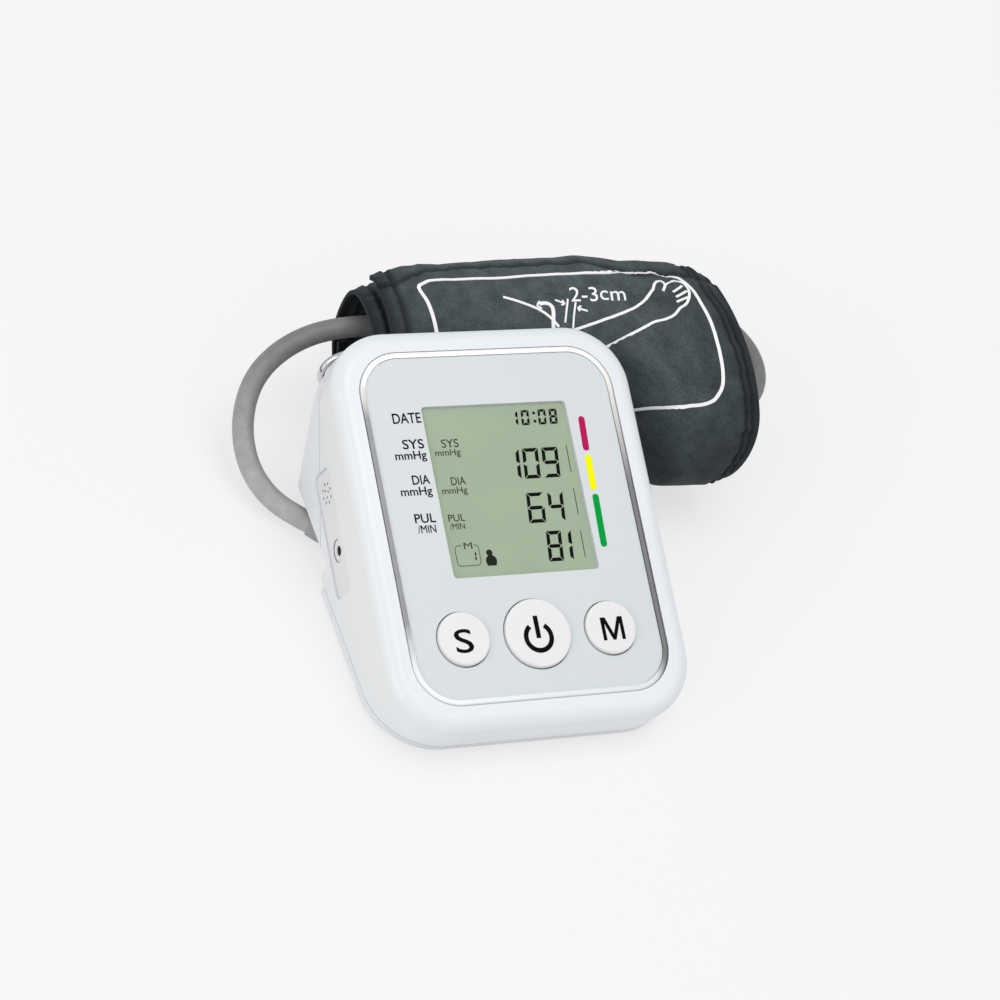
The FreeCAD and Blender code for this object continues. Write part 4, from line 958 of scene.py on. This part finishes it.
def path_band(path, width):
    """The outline of an even band along a line."""
    path = [Vector(point) for point in path]
    left, right = [], []
    for index, point in enumerate(path):
        along = (path[min(index + 1, len(path) - 1)] - path[max(index - 1, 0)]).normalized()
        side = Vector((-along.y, along.x)) * (width / 2)
        left.append(point + side)
        right.append(point - side)
    return right + left[::-1]


def digit(figure, left, low, width, height, thick):
    """The outlines of a figure's lit segments, with mitred ends and thin gaps."""
    middle, half, gap = height / 2, thick / 2, thick * SEGMENT_GAP
    tip = gap + thick * SEGMENT_TIP
    ends = {
        "a": ((0, height), (width, height), (0, -1)), "d": ((0, 0), (width, 0), (0, 1)),
        "b": ((width, height), (width, middle), (-1, 0)), "c": ((width, 0), (width, middle), (-1, 0)),
        "f": ((0, height), (0, middle), (1, 0)), "e": ((0, 0), (0, middle), (1, 0)),
    }
    outlines = []
    for name in DIGIT_SEGMENTS[figure]:
        if name == "g":
            outline = [
                (tip, middle), (tip + half, middle + half), (width - tip - half, middle + half),
                (width - tip, middle), (width - tip - half, middle - half), (tip + half, middle - half),
            ]
        else:
            first, last, inward = (Vector(part) for part in ends[name])
            along = (last - first).normalized()
            mitre = thick if name in "ad" else thick * SEGMENT_MITRE
            outline = [
                first + along * gap, last - along * gap, last - along * (mitre + gap) + inward * thick,
                first + along * (thick + gap) + inward * thick,
            ]
        outlines.append([(left + across + DIGIT_LEAN * up, low + up) for across, up in outline])
    return outlines


def plates(outlines, low, thickness):
    """Flat plates with the given outlines, in face millimetres, as one closed mesh."""
    points, faces = [], []
    for outline in outlines:
        faces.append(tuple(range(len(points), len(points) + len(outline))))
        points += [(across, up, low) for across, up in outline]
    piece = new_piece("plates", points, faces)
    open_mesh(piece)
    bpy.ops.mesh.extrude_region_move(TRANSFORM_OT_translate={"value": (0, 0, thickness)})
    close_mesh()
    return piece


def face_words(words, right, low, width, cap, top, thickness, weight):
    """Words on the face. They end at right, stand on low, and their capitals are as high as cap."""
    label = flat_words(words, 0.0 if "M" in words else weight)
    reach = label.dimensions.x
    for vertex in label.data.vertices:
        vertex.co = Vector((right - width + vertex.co.x / reach * width, low + vertex.co.y * cap,
                            top if vertex.co.z > 0 else top - thickness))
    return label


def face_piece(pieces, name, body, finish):
    """Joins what is printed on the face, and puts it there."""
    settle(join(pieces), name, body, finish, FACE)


# The display's film, set in the window's opening, and what it shows.
FILM_MIDDLE, FILM_SIZE = (0.87, 70.75), (45.8, 51.4)
FILM_THICKNESS, FILM_CORNER = 0.03, 1.2
film_outline = rounded_outline(FILM_MIDDLE, FILM_SIZE, FILM_CORNER)
film = plates([film_outline], FILM_TOP - FILM_THICKNESS, FILM_THICKNESS)
face_piece([film], "display_film", "monitor", "lcd_green")

SHOW = FILM_TOP - 0.02
# Each row's foot, height and stroke, and each figure's left side and width.
FIGURE_ROWS = (
    (73.6, 9.2, 1.05, (("1", 2.55, 3.0), ("0", 6.65, 5.05), ("9", 12.9, 5.15))),
    (60.15, 9.1, 1.05, (("6", 5.1, 5.4), ("4", 11.9, 4.85))),
    (48.3, 9.1, 1.05, (("8", 8.9, 4.75), ("1", 13.85, 3.0))),
    (89.9, 4.6, 0.72, (("1", 5.5, 2.5), ("0", 9.15, 2.5), ("0", 14.6, 2.5), ("8", 18.2, 2.5))),
    (50.0, 2.8, 0.42, (("1", -15.3, 1.6),)),
)
COLON_DOTS, DOT_RADIUS = ((13.5, 91.0), (13.6, 93.5)), 0.45
lit = [disc(dot, DOT_RADIUS, 14) for dot in COLON_DOTS]
for low, height, stroke, figures in FIGURE_ROWS:
    for figure, left, width in figures:
        lit += digit(figure, left, low, width, height, stroke)
face_piece([plates(lit, SHOW, INK)], "display_figures", "monitor", "segment_black")

# The thin box round the memory count, open at its top, the three thin lines and the small words.
BOX_MIDDLE, BOX_SIZE = (-16.1, 51.75), (7.4, 6.1)
BOX_CORNER, BOX_CORNER_STEPS = 1.2, 6
BOX_GAP = (-17.6, -13.7)
BOX_STROKE, COLUMN_STROKE = 0.18, 0.22
COLUMNS = (((21.7, 74.9), (21.9, 83.2)), ((21.2, 62.0), (21.4, 70.0)), ((20.6, 48.9), (20.8, 57.1)))
FAINT_THICKNESS, FAINT_WEIGHT = 0.1, 0.004
FAINT_WORDS = (
    ("SYS", -12.15, 84.3, 5.4, 2.5), ("mmHg", -12.1, 81.9, 7.9, 1.95),
    ("DIA", -12.25, 72.9, 4.6, 2.4), ("mmHg", -12.3, 70.4, 7.9, 1.95),
    ("PUL", -14.75, 62.1, 5.2, 2.1), ("/MIN", -15.3, 59.7, 4.6, 1.8),
    ("M", -14.25, 53.7, 2.6, 1.9),
)
box_top = BOX_MIDDLE[1] + BOX_SIZE[1] / 2
box_outline = rounded_outline(BOX_MIDDLE, BOX_SIZE, BOX_CORNER, BOX_CORNER_STEPS)
left_corner = BOX_CORNER_STEPS + 1
box_path = box_outline[left_corner:] + box_outline[:left_corner]
box_path = [(BOX_GAP[1], box_top), *reversed(box_path), (BOX_GAP[0], box_top)]
faint = [path_band(box_path, BOX_STROKE)] + [path_band(column, COLUMN_STROKE) for column in COLUMNS]
faint_pieces = [plates(faint, SHOW, INK)]
faint_pieces += [face_words(*words, SHOW + INK, FAINT_THICKNESS, FAINT_WEIGHT) for words in FAINT_WORDS]
face_piece(faint_pieces, "display_marks", "monitor", "ink_faint")

# The small figure beside the pulse.
HEAD_MIDDLE, HEAD_RADIUS = (-9.35, 52.15), 0.95
CHEST_MIDDLE, CHEST_RADIUS = (-9.15, 49.75), 1.7
WAIST = [(-7.8, 48.3), (-10.5, 48.3)]
person = [disc(HEAD_MIDDLE, HEAD_RADIUS), arc(CHEST_MIDDLE, CHEST_RADIUS, 200, -20, 16) + WAIST]
face_piece([plates(person, SHOW, INK)], "display_person", "monitor", "ink_dark")

# The words beside the display and the coloured bars: where words end, where they stand, and their size.
LABEL_WEIGHT = 0.008
LABELS = (
    ("DATE", -22.8, 91.9, 8.8, 3.1),
    ("SYS", -23.45, 84.15, 6.6, 2.8), ("mmHg", -23.3, 81.0, 9.7, 2.5),
    ("DIA", -23.8, 73.4, 5.4, 2.75), ("mmHg", -23.7, 70.2, 9.7, 2.5),
    ("PUL", -24.35, 61.95, 6.4, 2.7), ("/MIN", -24.8, 58.9, 5.6, 2.3),
)
label_pieces = [face_words(*label, PANEL_TOP + INK, INK + SINK, LABEL_WEIGHT) for label in LABELS]
face_piece(label_pieces, "panel_words", "monitor", "ink_black")
BARS = (
    ("bar_high", "bar_crimson", (28.1, 90.5), (27.65, 81.8)),
    ("bar_middle", "bar_yellow", (27.7, 78.6), (27.35, 69.75)),
    ("bar_low", "bar_green", (27.4, 66.5), (26.9, 52.3)),
)
for name, finish_name, top_end, low_end in BARS:
    bar_plate = plates([bar(low_end, top_end, BAR_WIDTH)], PANEL_TOP - SINK, INK + SINK)
    face_piece([bar_plate], name, "monitor", finish_name)

# The marks on the buttons.
S_RIGHT, S_LOW, S_WIDTH, S_HEIGHT, S_WEIGHT = 2.3 - BUTTON_PITCH, 22.8, 5.5, 6.8, 0.005
M_LEFT, M_LOW = BUTTON_PITCH - 3.3, 23.1
M_OUTLINE = [
    (0, 0), (0, 6.8), (1.5, 6.8), (3.5, 1.75), (5.5, 6.8), (7, 6.8), (7, 0),
    (5.95, 0), (5.95, 5.0), (3.95, 0), (3.05, 0), (1.05, 5.0), (1.05, 0),
]
POWER_MIDDLE, POWER_RADIUS, POWER_STROKE = (-0.35, 25.65), 3.95, 1.4
POWER_ARC, POWER_BAR = (125, 415), (-0.3, 6.3)
mark_s = face_words("S", S_RIGHT, S_LOW, S_WIDTH, S_HEIGHT, BUTTON_TOP + INK, INK + SINK, S_WEIGHT)
m_outline = [(M_LEFT + across, M_LOW + up) for across, up in M_OUTLINE]
power_ring = path_band(arc(POWER_MIDDLE, POWER_RADIUS, *POWER_ARC, 60), POWER_STROKE)
power_bar = path_band([(POWER_MIDDLE[0], POWER_MIDDLE[1] + up) for up in POWER_BAR], POWER_STROKE)
face_piece([mark_s], "mark_s", "set_key", "ink_black")
for outlines, name, body in (
    ([m_outline], "mark_m", "memory_key"),
    ([power_ring, power_bar], "mark_power", "power_key"),
):
    mark = plates(outlines, BUTTON_TOP - SINK, INK + SINK)
    face_piece([mark], name, body, "ink_black")


# The metal ring in the roll's hollow ----------------------------------

RING_START, RING_END = -28.3, 74.5
RING_BACK, RING_MIDDLE = 106.0, 26.5
RING_RADIUS, RING_WIRE = 7.5, 1.1

bpy.ops.object.select_all(action="DESELECT")
bpy.ops.mesh.primitive_torus_add(
    major_radius=RING_RADIUS * MM, minor_radius=RING_WIRE * MM, major_segments=64, minor_segments=20,
    location=(RING_START * MM, RING_BACK * MM, RING_MIDDLE * MM), rotation=(math.pi / 2, 0, 0),
)
metal_ring = bpy.context.object
for vertex in metal_ring.data.vertices:
    vertex.select = vertex.co.x > 0
for part in (*metal_ring.data.edges, *metal_ring.data.polygons):
    part.select = all(metal_ring.data.vertices[index].select for index in part.vertices)
bpy.ops.object.mode_set(mode="EDIT")
bpy.ops.transform.translate(value=((RING_END - RING_START) * MM, 0, 0))
bpy.ops.object.mode_set(mode="OBJECT")
bpy.ops.object.shade_smooth()
settle(metal_ring, "metal_ring", "ring", "ring_wire")
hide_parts("d_ring")


# The studio -----------------------------------------------------------

BACKDROP_TONE, BACKDROP_SHARE = 0.935, 0.72
FLOOR_SIZE, FLOOR_TONE, FLOOR_SHIFT = 12.0, 0.88, 0.005
SKY_STRENGTH = 0.62
LAMP_AIM = (0, 0.05, 0.03)


def show_backdrop(finish):
    """Mixes a plain pale tone into a lit surface for the camera, for reflections and through clear pieces."""
    rays = finish.add("ShaderNodeLightPath").outputs
    seen = finish.math("MAXIMUM", rays["Is Camera Ray"], rays["Is Glossy Ray"])
    seen = finish.math("MAXIMUM", seen, rays["Is Transmission Ray"])
    glow = finish.add("ShaderNodeEmission", {"Color": (BACKDROP_TONE, BACKDROP_TONE, BACKDROP_TONE, 1)})
    mixed = finish.add("ShaderNodeMixShader", {
        0: finish.math("MULTIPLY", seen, BACKDROP_SHARE), 1: finish.shader.outputs[0], 2: glow.outputs[0],
    })
    finish.tree.links.new(mixed.outputs[0], finish.tree.nodes["Material Output"].inputs["Surface"])


def make_floor():
    """A wide pale table top."""
    bpy.ops.object.select_all(action="DESELECT")
    bpy.ops.mesh.primitive_plane_add(size=FLOOR_SIZE, location=(0, 0, 0))
    floor = bpy.context.object
    floor.name = "floor"
    finish = Finish("floor_pale", toned(WHITE, FLOOR_TONE), 0.9)
    tones = (toned(WHITE, FLOOR_TONE - FLOOR_SHIFT), toned(WHITE, FLOOR_TONE + FLOOR_SHIFT))
    finish.colour(finish.ramp(finish.noise(300.0, 1.0), *tones))
    show_backdrop(finish)
    floor.data.materials.append(finish.material)


def make_world():
    """Even pale light all round."""
    world = bpy.data.worlds.new("studio")
    bpy.context.scene.world = world
    world.use_nodes = True
    background = world.node_tree.nodes["Background"]
    background.inputs["Color"].default_value = (*WHITE, 1)
    background.inputs["Strength"].default_value = SKY_STRENGTH


def lamp(name, place, size, power):
    """A soft square lamp that shines on the object."""
    data = bpy.data.lights.new(name, "AREA")
    data.size = size
    data.energy = power
    light = bpy.data.objects.new(name, data)
    bpy.context.scene.collection.objects.link(light)
    light.location = place
    light.rotation_euler = (Vector(LAMP_AIM) - Vector(place)).to_track_quat("-Z", "Y").to_euler()


make_floor()
make_world()
lamp("key", (0.15, 0.05, 1.4), 0.9, 6.8)
lamp("fill", (-1.2, -0.3, 0.7), 1.0, 5.5)
bpy.context.scene.view_settings.view_transform = "Standard"
